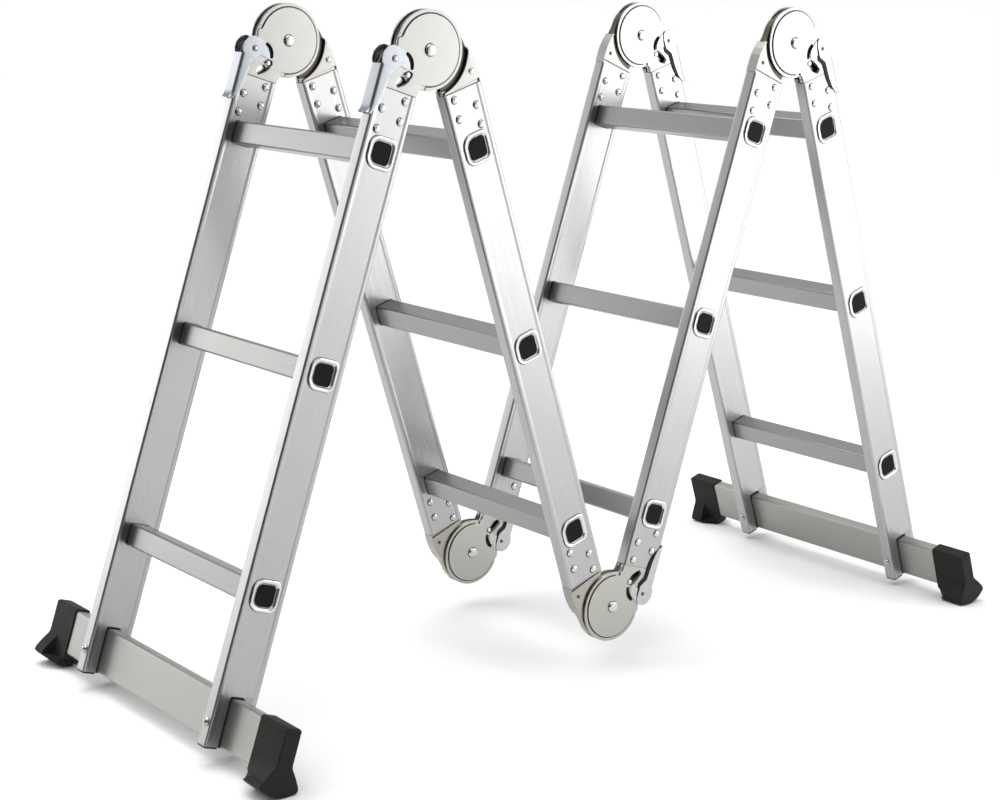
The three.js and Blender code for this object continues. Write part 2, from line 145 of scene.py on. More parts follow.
class Solid:
    """Collects vertices and faces in mm. axis says how (a, b, h) maps to local x, y, z:
    'y' for plates whose outline is (t, s): x = m * s, y = h, z = -t."""

    def __init__(self, axis="ts", m=1):
        self.v, self.f, self.axis, self.m = [], [], axis, m

    def p(self, a, b, h):
        if self.axis == "ts":
            return (self.m * b, h, -a)
        if self.axis == "xz":  # outline (x, z), extruded along y
            return (a, h, b)
        if self.axis == "xy":  # outline (x, y), extruded along z
            return (a, b, h)
        return (h, a, b)  # "yz": outline (y, z), extruded along x

    def ring(self, pts, h):
        i0 = len(self.v)
        for a, b in pts:
            self.v.append(self.p(a, b, h))
        return list(range(i0, len(self.v)))

    def bridge(self, a, b, closed=True):
        n = len(a)
        for i in range(n if closed else n - 1):
            j = (i + 1) % n
            self.f.append((a[i], a[j], b[j], b[i]))

    def cap(self, rings):
        polys, flat = [], []
        for r in rings:
            pts = []
            for i in r:
                x, y, z = self.v[i]
                pts.append(Vector((x, z, 0)) if self.axis in ("ts", "xz") else Vector((x, y, 0)) if self.axis == "xy" else Vector((y, z, 0)))
            polys.append(pts)
            flat += r
        for t in tessellate_polygon(polys):
            self.f.append(tuple(flat[k] for k in t))

    def loft(self, rings, start=True, end=True):
        """rings: list of index rings of the same length."""
        for a, b in zip(rings, rings[1:]):
            self.bridge(a, b)
        if start:
            self.cap([rings[0]])
        if end:
            self.cap([rings[-1]])

    def slab(self, outer, holes, h0, h1, r0=0.35, r1=None):
        """Plate with rounded edges on both faces; the outline and the holes are rounded alike."""
        r1 = r0 if r1 is None else r1
        caps = ([], [])
        for k, c in enumerate([outer] + list(holes)):
            c = ccw(c)
            sg = 1 if k == 0 else -1
            prof = [(r0, h0), (0.3 * r0, h0 + 0.3 * r0), (0, h0 + r0), (0, h1 - r1), (0.3 * r1, h1 - 0.3 * r1), (r1, h1)]
            rings = [self.ring(offset(c, sg * i), h) for i, h in prof]
            for a, b in zip(rings, rings[1:]):
                self.bridge(a, b)
            caps[0].append(rings[0])
            caps[1].append(rings[-1])
        self.cap(caps[0])
        self.cap(caps[1])
        return self

    def lathe(self, prof, n=32, ca=0.0, cb=0.0):
        """prof: (radius, height) pairs; a radius of 0 closes the end."""
        rings = []
        for r, h in prof:
            if r < 1e-6:
                self.v.append(self.p(ca, cb, h))
                rings.append([len(self.v) - 1])
            else:
                rings.append(self.ring(circle(r, n, ca, cb), h))
        for a, b in zip(rings, rings[1:]):
            if len(a) == 1 and len(b) > 1:
                for i in range(n):
                    self.f.append((a[0], b[i], b[(i + 1) % n]))
            elif len(b) == 1 and len(a) > 1:
                for i in range(n):
                    self.f.append((b[0], a[i], a[(i + 1) % n]))
            elif len(a) > 1:
                self.bridge(a, b)
        if len(rings[0]) > 1:
            self.cap([rings[0]])
        if len(rings[-1]) > 1:
            self.cap([rings[-1]])
        return self

    def mesh(self, name, angle=34.0):
        me = bpy.data.meshes.new(name)
        me.from_pydata([(x / 1000, y / 1000, z / 1000) for x, y, z in self.v], [], self.f)
        return tidy(me, angle)


def tidy(me, angle=34.0):
    bm = bmesh.new()
    bm.from_mesh(me)
    bmesh.ops.remove_doubles(bm, verts=bm.verts, dist=2e-6)
    bmesh.ops.dissolve_degenerate(bm, dist=1e-6, edges=bm.edges)
    bmesh.ops.recalc_face_normals(bm, faces=bm.faces)
    bm.to_mesh(me)
    bm.free()
    me.polygons.foreach_set("use_smooth", [True] * len(me.polygons))
    me.set_sharp_from_angle(angle=math.radians(angle))
    me.update()
    return me


def boolean(me, cutters, op="DIFFERENCE", name=None):
    """me cut by (or joined with) other meshes, applied."""
    a = bpy.data.objects.new("tmp_a", me)
    bpy.context.scene.collection.objects.link(a)
    extra = []
    for c in cutters:
        o = bpy.data.objects.new("tmp_c", c)
        bpy.context.scene.collection.objects.link(o)
        o.hide_render = True
        extra.append(o)
        mod = a.modifiers.new("b", "BOOLEAN")
        mod.operation, mod.object, mod.solver = op, o, "EXACT"
    bpy.context.view_layer.update()
    dg = bpy.context.evaluated_depsgraph_get()
    out = bpy.data.meshes.new_from_object(a.evaluated_get(dg))
    out.name = name or me.name
    for o in [a] + extra:
        bpy.data.objects.remove(o)
    for c in cutters:
        bpy.data.meshes.remove(c)
    return tidy(out)


MESHES = {}


def once(key, make):
    if key not in MESHES:
        MESHES[key] = make()
    return MESHES[key]


def add(name, mesh, material, body, matrix, replaces=()):
    if not mesh.materials:
        mesh.materials.append(material)
    o = bpy.data.objects.new(name, mesh)
    bpy.context.scene.collection.objects.link(o)
    o.matrix_world = matrix
    wn = o.modifiers.new("weighted", "WEIGHTED_NORMAL")
    wn.mode, wn.weight, wn.keep_sharp = "FACE_AREA", 100, True
    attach(o, body)
    if replaces:
        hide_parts(*replaces)
    return o


# ------------------------------------------------------------------ materials
def nodes_of(name):
    m = bpy.data.materials.new(name)
    m.use_nodes = True
    nt = m.node_tree
    nt.nodes.clear()
    out = nt.nodes.new("ShaderNodeOutputMaterial")
    b = nt.nodes.new("ShaderNodeBsdfPrincipled")
    nt.links.new(b.outputs[0], out.inputs[0])
    return m, nt, b


def noise(nt, scale, stretch=(1, 1, 1), detail=4.0, rough=0.55):
    tc = nt.nodes.new("ShaderNodeTexCoord")
    mp = nt.nodes.new("ShaderNodeMapping")
    mp.inputs["Scale"].default_value = stretch
    nt.links.new(tc.outputs["Object"], mp.inputs["Vector"])
    nz = nt.nodes.new("ShaderNodeTexNoise")
    nz.inputs["Scale"].default_value = scale
    nz.inputs["Detail"].default_value = detail
    nz.inputs["Roughness"].default_value = rough
    nt.links.new(mp.outputs[0], nz.inputs["Vector"])
    return nz.outputs["Fac"]


def remap(nt, fac, lo, hi, a=0.3, b=0.7):
    n = nt.nodes.new("ShaderNodeMapRange")
    n.inputs["From Min"].default_value = a
    n.inputs["From Max"].default_value = b
    n.inputs["To Min"].default_value = lo
    n.inputs["To Max"].default_value = hi
    nt.links.new(fac, n.inputs["Value"])
    return n.outputs[0]


def ramp(nt, fac, c0, c1, a=0.3, b=0.7):
    n = nt.nodes.new("ShaderNodeValToRGB")
    n.color_ramp.elements[0].position = a
    n.color_ramp.elements[1].position = b
    n.color_ramp.elements[0].color = (*c0, 1)
    n.color_ramp.elements[1].color = (*c1, 1)
    nt.links.new(fac, n.inputs[0])
    return n.outputs[0]


def mix_rgb(nt, fac, a, b, mode="MIX"):
    n = nt.nodes.new("ShaderNodeMix")
    n.data_type = "RGBA"
    n.blend_type = mode
    if isinstance(fac, (int, float)):
        n.inputs[0].default_value = fac
    else:
        nt.links.new(fac, n.inputs[0])
    nt.links.new(a, n.inputs[6])
    if isinstance(b, tuple):
        n.inputs[7].default_value = (*b, 1)
    else:
        nt.links.new(b, n.inputs[7])
    return n.outputs[2]


def math_node(nt, op, a, b):
    n = nt.nodes.new("ShaderNodeMath")
    n.operation = op
    for k, v in enumerate((a, b)):
        if isinstance(v, (int, float)):
            n.inputs[k].default_value = v
        else:
            nt.links.new(v, n.inputs[k])
    return n.outputs[0]


def metal(name, base, rough, along=None, var=0.05, rvar=0.07, bump=0.10, tint=(1, 1, 1), scuff=0.10, metallic=1.0):
    """Metal with a drawn or rolled grain along one local axis, soft clouding and a few scuffs."""
    m, nt, b = nodes_of(name)
    lo = tuple(c * (1 - var) for c in base)
    hi = tuple(min(c * (1 + var) * t, 1) for c, t in zip(base, tint))
    cloud = noise(nt, 14.0, (1, 1, 1), 3.0)
    col = ramp(nt, cloud, lo, hi, 0.35, 0.65)
    if along is not None:
        st = [900.0, 900.0, 900.0]
        st[along] = 5.0
        grain = noise(nt, 1.0, tuple(st), 3.0, 0.6)
        fine = noise(nt, 1.0, tuple(4 * k if i != along else 20.0 for i, k in enumerate(st)), 2.0, 0.5)
    else:
        grain = noise(nt, 520.0, (1, 1, 1), 4.0, 0.6)
        fine = noise(nt, 1900.0, (1, 1, 1), 2.0, 0.5)
    col = mix_rgb(nt, 0.35, col, ramp(nt, grain, lo, hi, 0.3, 0.7))
    scratches = noise(nt, 1.0, (60.0, 60.0, 420.0) if along != 2 else (420.0, 60.0, 60.0), 6.0, 0.7)
    worn = remap(nt, scratches, 0.0, 1.0, 0.60, 0.72)
    col = mix_rgb(nt, math_node(nt, "MULTIPLY", worn, scuff), col, tuple(c * 0.72 for c in base))
    nt.links.new(col, b.inputs["Base Color"])
    r = remap(nt, grain, rough - rvar, rough + rvar, 0.3, 0.7)
    r = math_node(nt, "ADD", r, math_node(nt, "MULTIPLY", worn, 0.12))
    nt.links.new(r, b.inputs["Roughness"])
    b.inputs["Metallic"].default_value = metallic
    bp = nt.nodes.new("ShaderNodeBump")
    bp.inputs["Strength"].default_value = bump
    bp.inputs["Distance"].default_value = 0.00006
    nt.links.new(math_node(nt, "ADD", grain, math_node(nt, "MULTIPLY", fine, 0.5)), bp.inputs["Height"])
    nt.links.new(bp.outputs[0], b.inputs["Normal"])
    return m


def moulded(name, base, rough, bump=0.25, grain=900.0, var=0.25, sheen=0.0, spec=0.5):
    """Moulded rubber or plastic with a fine spark-eroded grain and dusty patches."""
    m, nt, b = nodes_of(name)
    cloud = noise(nt, 35.0, (1, 1, 1), 5.0, 0.6)
    lo = tuple(c * (1 - var) for c in base)
    hi = tuple(c * (1 + var) + 0.004 for c in base)
    speck = noise(nt, grain, (1, 1, 1), 3.0, 0.6)
    col = mix_rgb(nt, 0.4, ramp(nt, cloud, lo, hi), ramp(nt, speck, lo, hi, 0.35, 0.65))
    nt.links.new(col, b.inputs["Base Color"])
    nt.links.new(remap(nt, cloud, rough - 0.08, rough + 0.08), b.inputs["Roughness"])
    b.inputs["Metallic"].default_value = 0.0
    b.inputs["Specular IOR Level"].default_value = spec
    if sheen:
        b.inputs["Sheen Weight"].default_value = sheen
        b.inputs["Sheen Roughness"].default_value = 0.5
    bp = nt.nodes.new("ShaderNodeBump")
    bp.inputs["Strength"].default_value = bump
    bp.inputs["Distance"].default_value = 0.00015
    nt.links.new(speck, bp.inputs["Height"])
    nt.links.new(bp.outputs[0], b.inputs["Normal"])
    return m


RAIL_M = metal("rail_anodised", (0.40, 0.40, 0.40), 0.29, along=2, var=0.02, rvar=0.03, bump=0.04, scuff=0.04)
STRIP_M = metal("rail_end_insert", (0.33, 0.33, 0.325), 0.40, along=2, var=0.05)
RUNG_M = metal("rung_anodised", (0.305, 0.302, 0.295), 0.33, along=1, var=0.02, rvar=0.03, bump=0.04, scuff=0.04)
RIM_M = metal("rung_rim_rolled", (0.62, 0.62, 0.61), 0.18, along=None, bump=0.04)
BAR_M = metal("bar_anodised", (0.37, 0.365, 0.352), 0.38, along=1, var=0.02, rvar=0.03, bump=0.04, scuff=0.05)
PLATE_M = metal("hinge_plate_plated", (0.37, 0.368, 0.355), 0.33, along=None, bump=0.03, var=0.015, rvar=0.04, scuff=0.04)
# Dark steel: painted shade on the upper hinges' inner plates, cam and disc groove; also the small leaf rivets and the
# lever pin ends
DARK_STEEL_AND_SHADE_M = metal("hinge_inner_plate_and_painted_shade", (0.085, 0.076, 0.060), 0.38, along=None, bump=0.04)
WALL_M = metal("hinge_wall_plated", (0.36, 0.35, 0.31), 0.32, along=None, bump=0.03, var=0.03, rvar=0.04, scuff=0.05)
LEVER_M = metal("lever_plated", (0.335, 0.355, 0.375), 0.24, along=None, bump=0.03, var=0.015, rvar=0.03, scuff=0.04)
# Lighter copies of the lever and plate finish for the low hinge: painted light
LEVER_PAINTED_LIGHT_M = metal("lever_plated_low_painted_light", (0.47, 0.485, 0.485), 0.26, along=None, bump=0.03, var=0.015, rvar=0.03, scuff=0.04)
PLATE_PAINTED_LIGHT_M = metal("hinge_plate_low_painted_light", (0.42, 0.415, 0.385), 0.33, along=None, bump=0.03, var=0.015, rvar=0.04, scuff=0.04)
RIVET_M = metal("rivet_plated", (0.60, 0.60, 0.59), 0.16, along=None, bump=0.03, var=0.03)
BOLT_M = metal("bolt_plated", (0.42, 0.41, 0.39), 0.20, along=None, bump=0.05)
SPRING_M = metal("spring_steel", (0.14, 0.14, 0.135), 0.30, along=None, bump=0.02)
FOOT_M = moulded("foot_rubber", (0.0125, 0.0115, 0.0102), 0.58, bump=0.35, sheen=0.0, spec=0.14)
PLUG_M = moulded("plug_plastic", (0.0075, 0.0075, 0.0075), 0.50, bump=0.2, grain=1400.0, spec=0.06)
# Black plastic for the caps and the slot liner; also the colour of the painted shade and painted shadow marks
BLACK_PLASTIC_AND_SHADE_M = moulded("cap_plastic_and_painted_shade", (0.007, 0.007, 0.007), 0.45, bump=0.2, spec=0.2)


# ------------------------------------------------------------------ rails
def rail_profile():
    half = [
        (-30.0, 2.6), (-29.85, 1.75), (-29.4, 1.0), (-28.7, 0.5), (-27.8, 0.18), (-26.6, 0.02), (-25.4, 0.0),
        (-24.4, 0.05), (-23.5, 0.17), (-22.8, 0.33), (-22.1, 0.49), (-21.3, 0.55),
    ]
    top = half + [(-x, y) for x, y in reversed(half)]
    return top + [(-x, RAIL_D - y) for x, y in top]


def rail_mesh(outer):
    end = OUTER_LEN - 1.2 if outer else SECTION - RAIL_START
    o = ccw(rail_profile())
    n = len(o)
    s = Solid("xy")
    cuts = [RAIL_START + 0.0]
    cuts += [RAIL_START + (end - RAIL_START) * k / 12 for k in range(1, 12)] + [end]
    outer_rings = [s.ring(offset(o, 0.25), -cuts[0])] + [s.ring(o, -(cuts[0] + 0.25))]
    outer_rings += [s.ring(o, -c) for c in cuts[1:-1]] + [s.ring(o, -(end - 0.25)), s.ring(offset(o, 0.25), -end)]
    for a, b in zip(outer_rings, outer_rings[1:]):
        s.bridge(a, b)
    inner = ccw(rounded([(-28.5, 2.3), (28.5, 2.3), (28.5, RAIL_D - 2.3), (-28.5, RAIL_D - 2.3)], 1.0, 4))
    ir = [s.ring(inner, -cuts[0]), s.ring(inner, -end)]
    s.bridge(ir[0], ir[1])
    s.cap([outer_rings[0], ir[0]])
    s.cap([outer_rings[-1], ir[1]])
    me = s.mesh("rail_outer" if outer else "rail_inner", 30)
    if outer:
        c = Solid("xz")
        w = 10.6
        c.slab(rounded([(-w, -BAR_TOP + 1.2), (w, -BAR_TOP + 1.2), (w, -920), (-w, -920)], [4.2, 4.2, 0, 0], 6), [], -6, RAIL_D + 6, 0.01)
        b = Solid("yz")
        b.slab(circle(3.4, 20, MID, -BOLT_AT), [], -40, 40, 0.01)
        me = boolean(me, [c.mesh("cut"), b.mesh("cut2")], name="rail_outer")
    return me


def strip_mesh():
    """Flush inserts that fill the sunk faces beside the slot at a rail's foot end."""
    s = Solid("xz")
    z0, z1 = -(OUTER_LEN - 1.6), -(BAR_TOP - 3.2)
    for y0, y1 in ((0.10, 2.2), (RAIL_D - 2.2, RAIL_D - 0.10)):
        for q in (1, -1):
            s.slab(ccw([(q * 10.95, z0), (q * 22.25, z0), (q * 22.25, z1), (q * 10.95, z1)]), [], y0, y1, 0.3)
    return s.mesh("rail_insert")


def cap_mesh():
    """Black cap over the rail's two end strips."""
    s = Solid("xy")
    for q in (1, -1):
        o = ccw(rounded([(q * 10.9, 0.5), (q * 29.4, 0.5), (q * 29.4, RAIL_D - 0.5), (q * 10.9, RAIL_D - 0.5)], [1.2, 2.4, 2.4, 1.2], 4))
        s.slab(o, [], -(OUTER_LEN + 0.9), -(OUTER_LEN - 1.3), 0.5)
    return s.mesh("rail_cap")


RIVETS = ((70.8, 16.5), (96.3, 16.5), (87.5, 47.4), (113.2, 47.4))


def rivet(s, a, b, y, out, r=5.0, h=2.1):
    """Domed rivet head standing on the face at y, towards out."""
    prof = [(0, y + out * h)]
    for k in range(1, 7):
        q = math.radians(15 * k)
        prof.append((r * math.sin(q), y + out * (0.35 + (h - 0.35) * math.cos(q))))
    prof += [(r, y), (r * 0.9, y - out * 0.5)]
    s.lathe(prof, 24, a, b)


def rivets_mesh(m, outer):
    s = Solid("ts", m)
    for t, q in RIVETS:
        spots = [(t, q)] if outer else [(t, q), (SECTION - t, 2 * RAIL_OFFSET - q)]
        for a, b in spots:
            rivet(s, a, b, 0.55, -1)
            rivet(s, a, b, RAIL_D - 0.55, 1)
    return s.mesh("rivets")


def rivet_shadows_mesh(m, outer):
    """Painted shadow: a black disc under the edge of each head, wider towards -x."""
    s = Solid("ts", m)
    r = 5.6
    for t, q in RIVETS:
        spots = [(t, q)] if outer else [(t, q), (SECTION - t, 2 * RAIL_OFFSET - q)]
        for a, b in spots:
            for y, out in ((0.55, -1), (RAIL_D - 0.55, 1)):
                s.lathe([(0, y + out * 0.22), (r - 0.1, y + out * 0.22), (r, y + out * 0.12), (r, y - out * 0.3)], 28, a, b - 0.65 * m)
    return s.mesh("rivet_shadows")


# ------------------------------------------------------------------ rungs
def dshape(h, rl, rr, seg=7):
    """Rounded square whose -x corners have radius rl and whose +x corners have rr."""
    return ccw(rounded([(-h, -h), (h, -h), (h, h), (-h, h)], [rl, rr, rr, rl], seg))


def eye(h, m, grow=0.0):
    """Mouth of a flared rung end: square towards +x, bulged or with one large corner towards -x."""
    if m > 0:
        r = [6.2, 6.6, 6.0, 12.5]
        pts = [(-h, -h), (h, -h), (h, h), (-h, h)]
    else:
        r = [9.6, 6.8, 6.4, 8.6]
        pts = [(-h * 0.985, -h), (h, -h), (h, h), (-h * 0.96, h)]
    return ccw(rounded(pts, [max(q + grow, 0.8) for q in r], 9, True))


def rim_shape(h, m):
    """Outer contour of the rolled rim, almost round on the -x side."""
    r = [13.0, 9.4, 9.0, 16.0] if m > 0 else [15.0, 10.0, 9.0, 13.5]
    k = h / 20.4
    return ccw(rounded([(-h, -h), (h, -h), (h, h), (-h, h)], [q * k for q in r], 9, True))


def blend(a, b, k):
    return [(p[0] * (1 - k) + q[0] * k, p[1] * (1 - k) + q[1] * k) for p, q in zip(a, b)]


def rung_mesh():
    s = Solid("xz")
    tube = [dshape(15.0, 3.0, 2.8), dshape(13.4, 1.6, 1.4)]
    L = LADDER_W
    ys = [1.0 + (L - 2.0) * k / 8 for k in range(9)]
    o = [s.ring(tube[0], y) for y in ys]
    for a, b in zip(o, o[1:]):
        s.bridge(a, b)
    i = [s.ring(tube[1], ys[0]), s.ring(tube[1], ys[-1])]
    s.bridge(i[0], i[1])
    s.cap([o[0], i[0]])
    s.cap([o[-1], i[1]])
    return s.mesh("rung", 30)


def rim_mesh(m):
    """Rolled rims where the rung ends are flared over the rails' outer faces."""
    s = Solid("xz")
    outer, inner = rim_shape(20.4, m), eye(14.25, m)
    for base, q in ((0.0, 1), (LADDER_W, -1)):
        # (share of the way from the rim's outside to its mouth, height, extra size)
        prof = [
            (-0.01, 1.0, 0.0), (-0.02, 0.2, 0.0), (-0.01, -0.7, 0.0), (0.04, -1.15, 0.0), (0.14, -1.48, 0.0), (0.30, -1.60, 0.0),
            (0.48, -1.50, 0.0), (0.66, -1.05, 0.0), (0.80, -0.30, 0.0), (0.91, 0.55, 0.0), (0.98, 1.6, 0.0), (1.0, 3.2, 0.0),
            (0.97, 3.4, 0.0), (0.72, 1.6, 0.0), (0.35, 0.85, 0.0),
        ]
        rings = [s.ring(blend(outer, inner, k), base + q * y) for k, y, _ in prof]
        for k in range(len(rings)):
            s.bridge(rings[k], rings[(k + 1) % len(rings)])
    return s.mesh("rung_rims", 50)


def plugs_mesh(m):
    """Black plugs in the rung ends: a shallow pan with a rounded lip and a small centre pip."""
    s = Solid("xz")
    for base, q in ((0.0, 1), (LADDER_W, -1)):
        prof = [(13.9, 3.6), (14.3, 1.2), (14.15, 0.35), (13.65, -0.08), (13.0, -0.14), (12.6, 0.0), (12.4, 0.26)]
        rings = [s.ring(eye(h, m, h - 14.3), base + q * y) for h, y in prof]
        s.loft(rings)
        s.lathe([(0, base - q * 0.06), (0.8, base), (1.15, base + q * 0.2), (1.15, base + q * 0.8)], 16, 0, 0)
    return s.mesh("rung_plugs", 40)


def rim_shadow_mesh(m):
    """Painted shadow: a thin black ring between the rim and the rail's face, shifted towards -x."""
    s = Solid("xz")
    outer, inner = rim_shape(20.95, m), rim_shape(18.6, m)
    for base, q in ((0.0, 1), (LADDER_W, -1)):
        rings = [s.ring([(x - 0.45, z) for x, z in o], base + q * y) for o, y in ((outer, 1.0), (outer, 0.42), (blend(outer, inner, 0.2), 0.30), (inner, 0.30), (inner, 1.0))]
        for k in range(len(rings)):
            s.bridge(rings[k], rings[(k + 1) % len(rings)])
    # and a painted shadow ring round the tube where it enters the rails' inner faces
    for y0 in (RAIL_D - 0.6, LADDER_W - RAIL_D - 0.5):
        s.slab(dshape(15.6, 3.5, 3.3), [dshape(14.96, 3.0, 2.8)], y0, y0 + 1.1, 0.15)
    return s.mesh("rung_rim_shadows", 50)


# ------------------------------------------------------------------ bar, feet, bolts
def bar_mesh():
    s = Solid("xz")
    h, zc = BAR_T / 2, -(BAR_TOP + BAR_H / 2)
    o = ccw(rounded([(-h, zc - BAR_H / 2), (h, zc - BAR_H / 2), (h, zc + BAR_H / 2), (-h, zc + BAR_H / 2)], 3.2, 5))
    i = offset(o, 1.6)
    ya, yb = -(FOOT_OUT - 4), LADDER_W + FOOT_OUT - 4
    ys = [ya + (yb - ya) * k / 12 for k in range(13)]
    ro = [s.ring(o, y) for y in ys]
    for a, b in zip(ro, ro[1:]):
        s.bridge(a, b)
    ri = [s.ring(i, ya), s.ring(i, yb)]
    s.bridge(ri[0], ri[1])
    s.cap([ro[0], ri[0]])
    s.cap([ro[-1], ri[1]])
    return s.mesh("stabiliser_bar", 30)


def foot_mesh():
    """Boot over the bar's end: a sleeve with a lipped top and a flared rocker sole."""
    s = Solid("xy")
    h = 11.5

    def level(t, hx, y_out, rc=2.2, hm=None, y_mid=97.0, y_in=FOOT_IN):
        """Ring at one height: outer corners at hx, corners part way in at hm, and the inner end."""
        hm = hx if hm is None else hm
        hi = min(hx, h) if y_in == FOOT_IN else min(hm, h)
        hr = h if 872 < t < 902 else hx
        pts = [(-hx, -y_out), (hx, -y_out), (hx, -106.0), (min(hr, hx), -105.0), (hi, -y_in), (-hi, -y_in), (-hm, -y_mid)]
        return s.ring(rounded(pts, [rc, rc, rc * 0.4, rc * 0.3, rc * 0.4, rc * 0.4, rc * 0.5], 4, True), -t)

    edge = SOLE_R * math.sin(math.radians(36))
    rows = [
        (828.4, h - 3.6, FOOT_OUT - 3.4, 1.2), (828.5, h - 2.6, FOOT_OUT - 2.4, 1.6), (829.4, h - 1.3, FOOT_OUT - 1.0, 2.0),
        (830.6, h - 0.4, FOOT_OUT - 0.3, 2.2), (832.0, h, FOOT_OUT, 2.2), (834.6, h, FOOT_OUT, 2.2), (835.1, h - 0.45, FOOT_OUT - 0.45, 2.0),
        (836.0, h - 0.45, FOOT_OUT - 0.45, 2.0), (836.6, h - 0.05, FOOT_OUT - 0.05, 2.2), (856.0, h, FOOT_OUT, 2.2), (872.0, h, FOOT_OUT, 2.2),
    ]
    rings = [level(*r) for r in rows]
    for t, hx, hm, y_mid, y_in in (
        (875.5, h + 0.3, h + 0.1, 97.0, FOOT_IN), (878.5, h + 1.9, h + 0.6, 97.0, FOOT_IN), (882.0, h + 4.6, h + 1.5, 97.0, FOOT_IN),
        (888.0, h + 8.9, h + 3.2, 97.0, FOOT_IN), (893.0, h + 12.0, h + 5.2, 97.0, FOOT_IN), (895.8, h + 13.7, h + 7.6, 97.0, FOOT_IN),
        (897.2, h + 14.6, h + 9.6, 96.0, FOOT_IN + 1.0), (898.8, edge - 1.0, h + 12.0, 95.0, FOOT_IN + 3.0), (901.4, edge - 0.2, h + 14.6, 93.0, FOOT_IN + 6.0),
        (903.4, edge - 0.1, edge - 0.4, 91.0, FOOT_IN + 9.0), (905.0, math.sqrt(SOLE_R**2 - 39.0**2), math.sqrt(SOLE_R**2 - 39.0**2), 90.0, FOOT_IN + 11.0),
    ):
        rings.append(level(t, hx, FOOT_OUT, 1.6, hm, y_mid, y_in))
    for t in (907.0, 908.8, 910.4, 911.6, 912.4):
        rings.append(level(t, math.sqrt(SOLE_R**2 - (t - SOLE_C) ** 2), FOOT_OUT, 1.2, None, 90.0, FOOT_IN + 11.0))
    rings.append(level(912.9, 3.0, FOOT_OUT - 0.5, 0.8, None, 90.0, FOOT_IN + 11.0))
    s.loft(rings)
    return s.mesh("foot", 38)


def slot_liner_mesh():
    """Black liner between the bar and the rail's slot."""
    s = Solid("xz")
    zc = -(BAR_TOP + BAR_H / 2)
    o = rounded([(-10.45, zc - 31.6), (10.45, zc - 31.6), (10.45, zc + 31.9), (-10.45, zc + 31.9)], [1.0, 1.0, 3.9, 3.9], 5)
    i = rounded([(-9.65, zc - 31.15), (9.65, zc - 31.15), (9.65, zc + 31.15), (-9.65, zc + 31.15)], 3.2, 5)
    s.slab(o, [i], -0.35, RAIL_D + 0.35, 0.2)
    # its collar on the rail's wide faces
    o = rounded([(-11.7, zc - 31.6), (11.0, zc - 31.6), (11.0, zc + 33.4), (-11.7, zc + 33.4)], [1.0, 1.0, 4.4, 4.4], 5)
    for y0 in (0.15, RAIL_D - 0.95):
        s.slab(o, [i], y0, y0 + 0.8, 0.15)
    return s.mesh("slot_liner")


def dimple_shades_mesh():
    # Painted shade: dark discs on the boot's face where its dimples are
    s = Solid("xz")
    for x, z in ((-4.6, -843.0), (4.6, -843.0), (0.0, -874.0)):
        s.lathe([(0, -FOOT_OUT - 0.06), (1.1, -FOOT_OUT - 0.05), (1.5, -FOOT_OUT + 0.05), (1.5, -FOOT_OUT + 1.0)], 16, x, z)
    return s.mesh("foot_dimple_shades")


def bolt_mesh():
    """Bolt through rail and bar: domed head and washer on the -x side, nut on the other."""
    s = Solid("yz")
    h = 30.0
    s.lathe([(0, -h - 4.1), (2.4, -h - 3.9), (4.2, -h - 3.1), (5.2, -h - 2.0), (5.6, -h - 0.9), (5.6, -h - 0.75), (3.0, -h - 0.7)], 32, MID, -BOLT_AT)
    s.lathe([(6.4, -h - 0.75), (6.7, -h - 0.55), (6.7, -h - 0.15), (6.5, -h - 0.02), (3.0, -h - 0.02), (3.0, -h - 0.75)], 32, MID, -BOLT_AT)
    s.lathe([(3.0, -h - 1.5), (3.0, h + 5.2), (2.5, h + 5.5), (0, h + 5.5)], 24, MID, -BOLT_AT)
    s.lathe([(3.0, h + 0.02), (6.6, h + 0.02), (6.6, h + 0.6), (3.0, h + 0.65)], 32, MID, -BOLT_AT)
    hexa = circle(5.7, 6, MID, -BOLT_AT)
    s.slab(hexa, [circle(3.0, 24, MID, -BOLT_AT)], h + 0.65, h + 4.6, 0.5)
    return s.mesh("bar_bolt")


# ------------------------------------------------------------------ hinges
def smooth(pts, r, seg=7):
    return rounded(pts, r, seg)


WINDOW = smooth([(12.0, 32.6), (14.2, 26.6), (18.0, 22.0), (23.5, 18.6), (30.2, 17.4), (31.6, 21.2), (25.6, 23.6), (20.6, 28.0), (17.0, 34.2)], 1.2)
SLOT = smooth([(34.4, 17.0), (33.4, 24.6), (36.9, 28.9), (43.4, 33.4), (53.2, 38.6), (57.8, 33.0), (52.5, 24.8), (47.5, 20.2), (38.0, 15.8)], 1.1)
ARM = [(61.6, 2.6), (61.6, 61.0), (40.0, 61.0), (24.0, 58.5), (17.5, 53.5), (15.6, 49.0)]


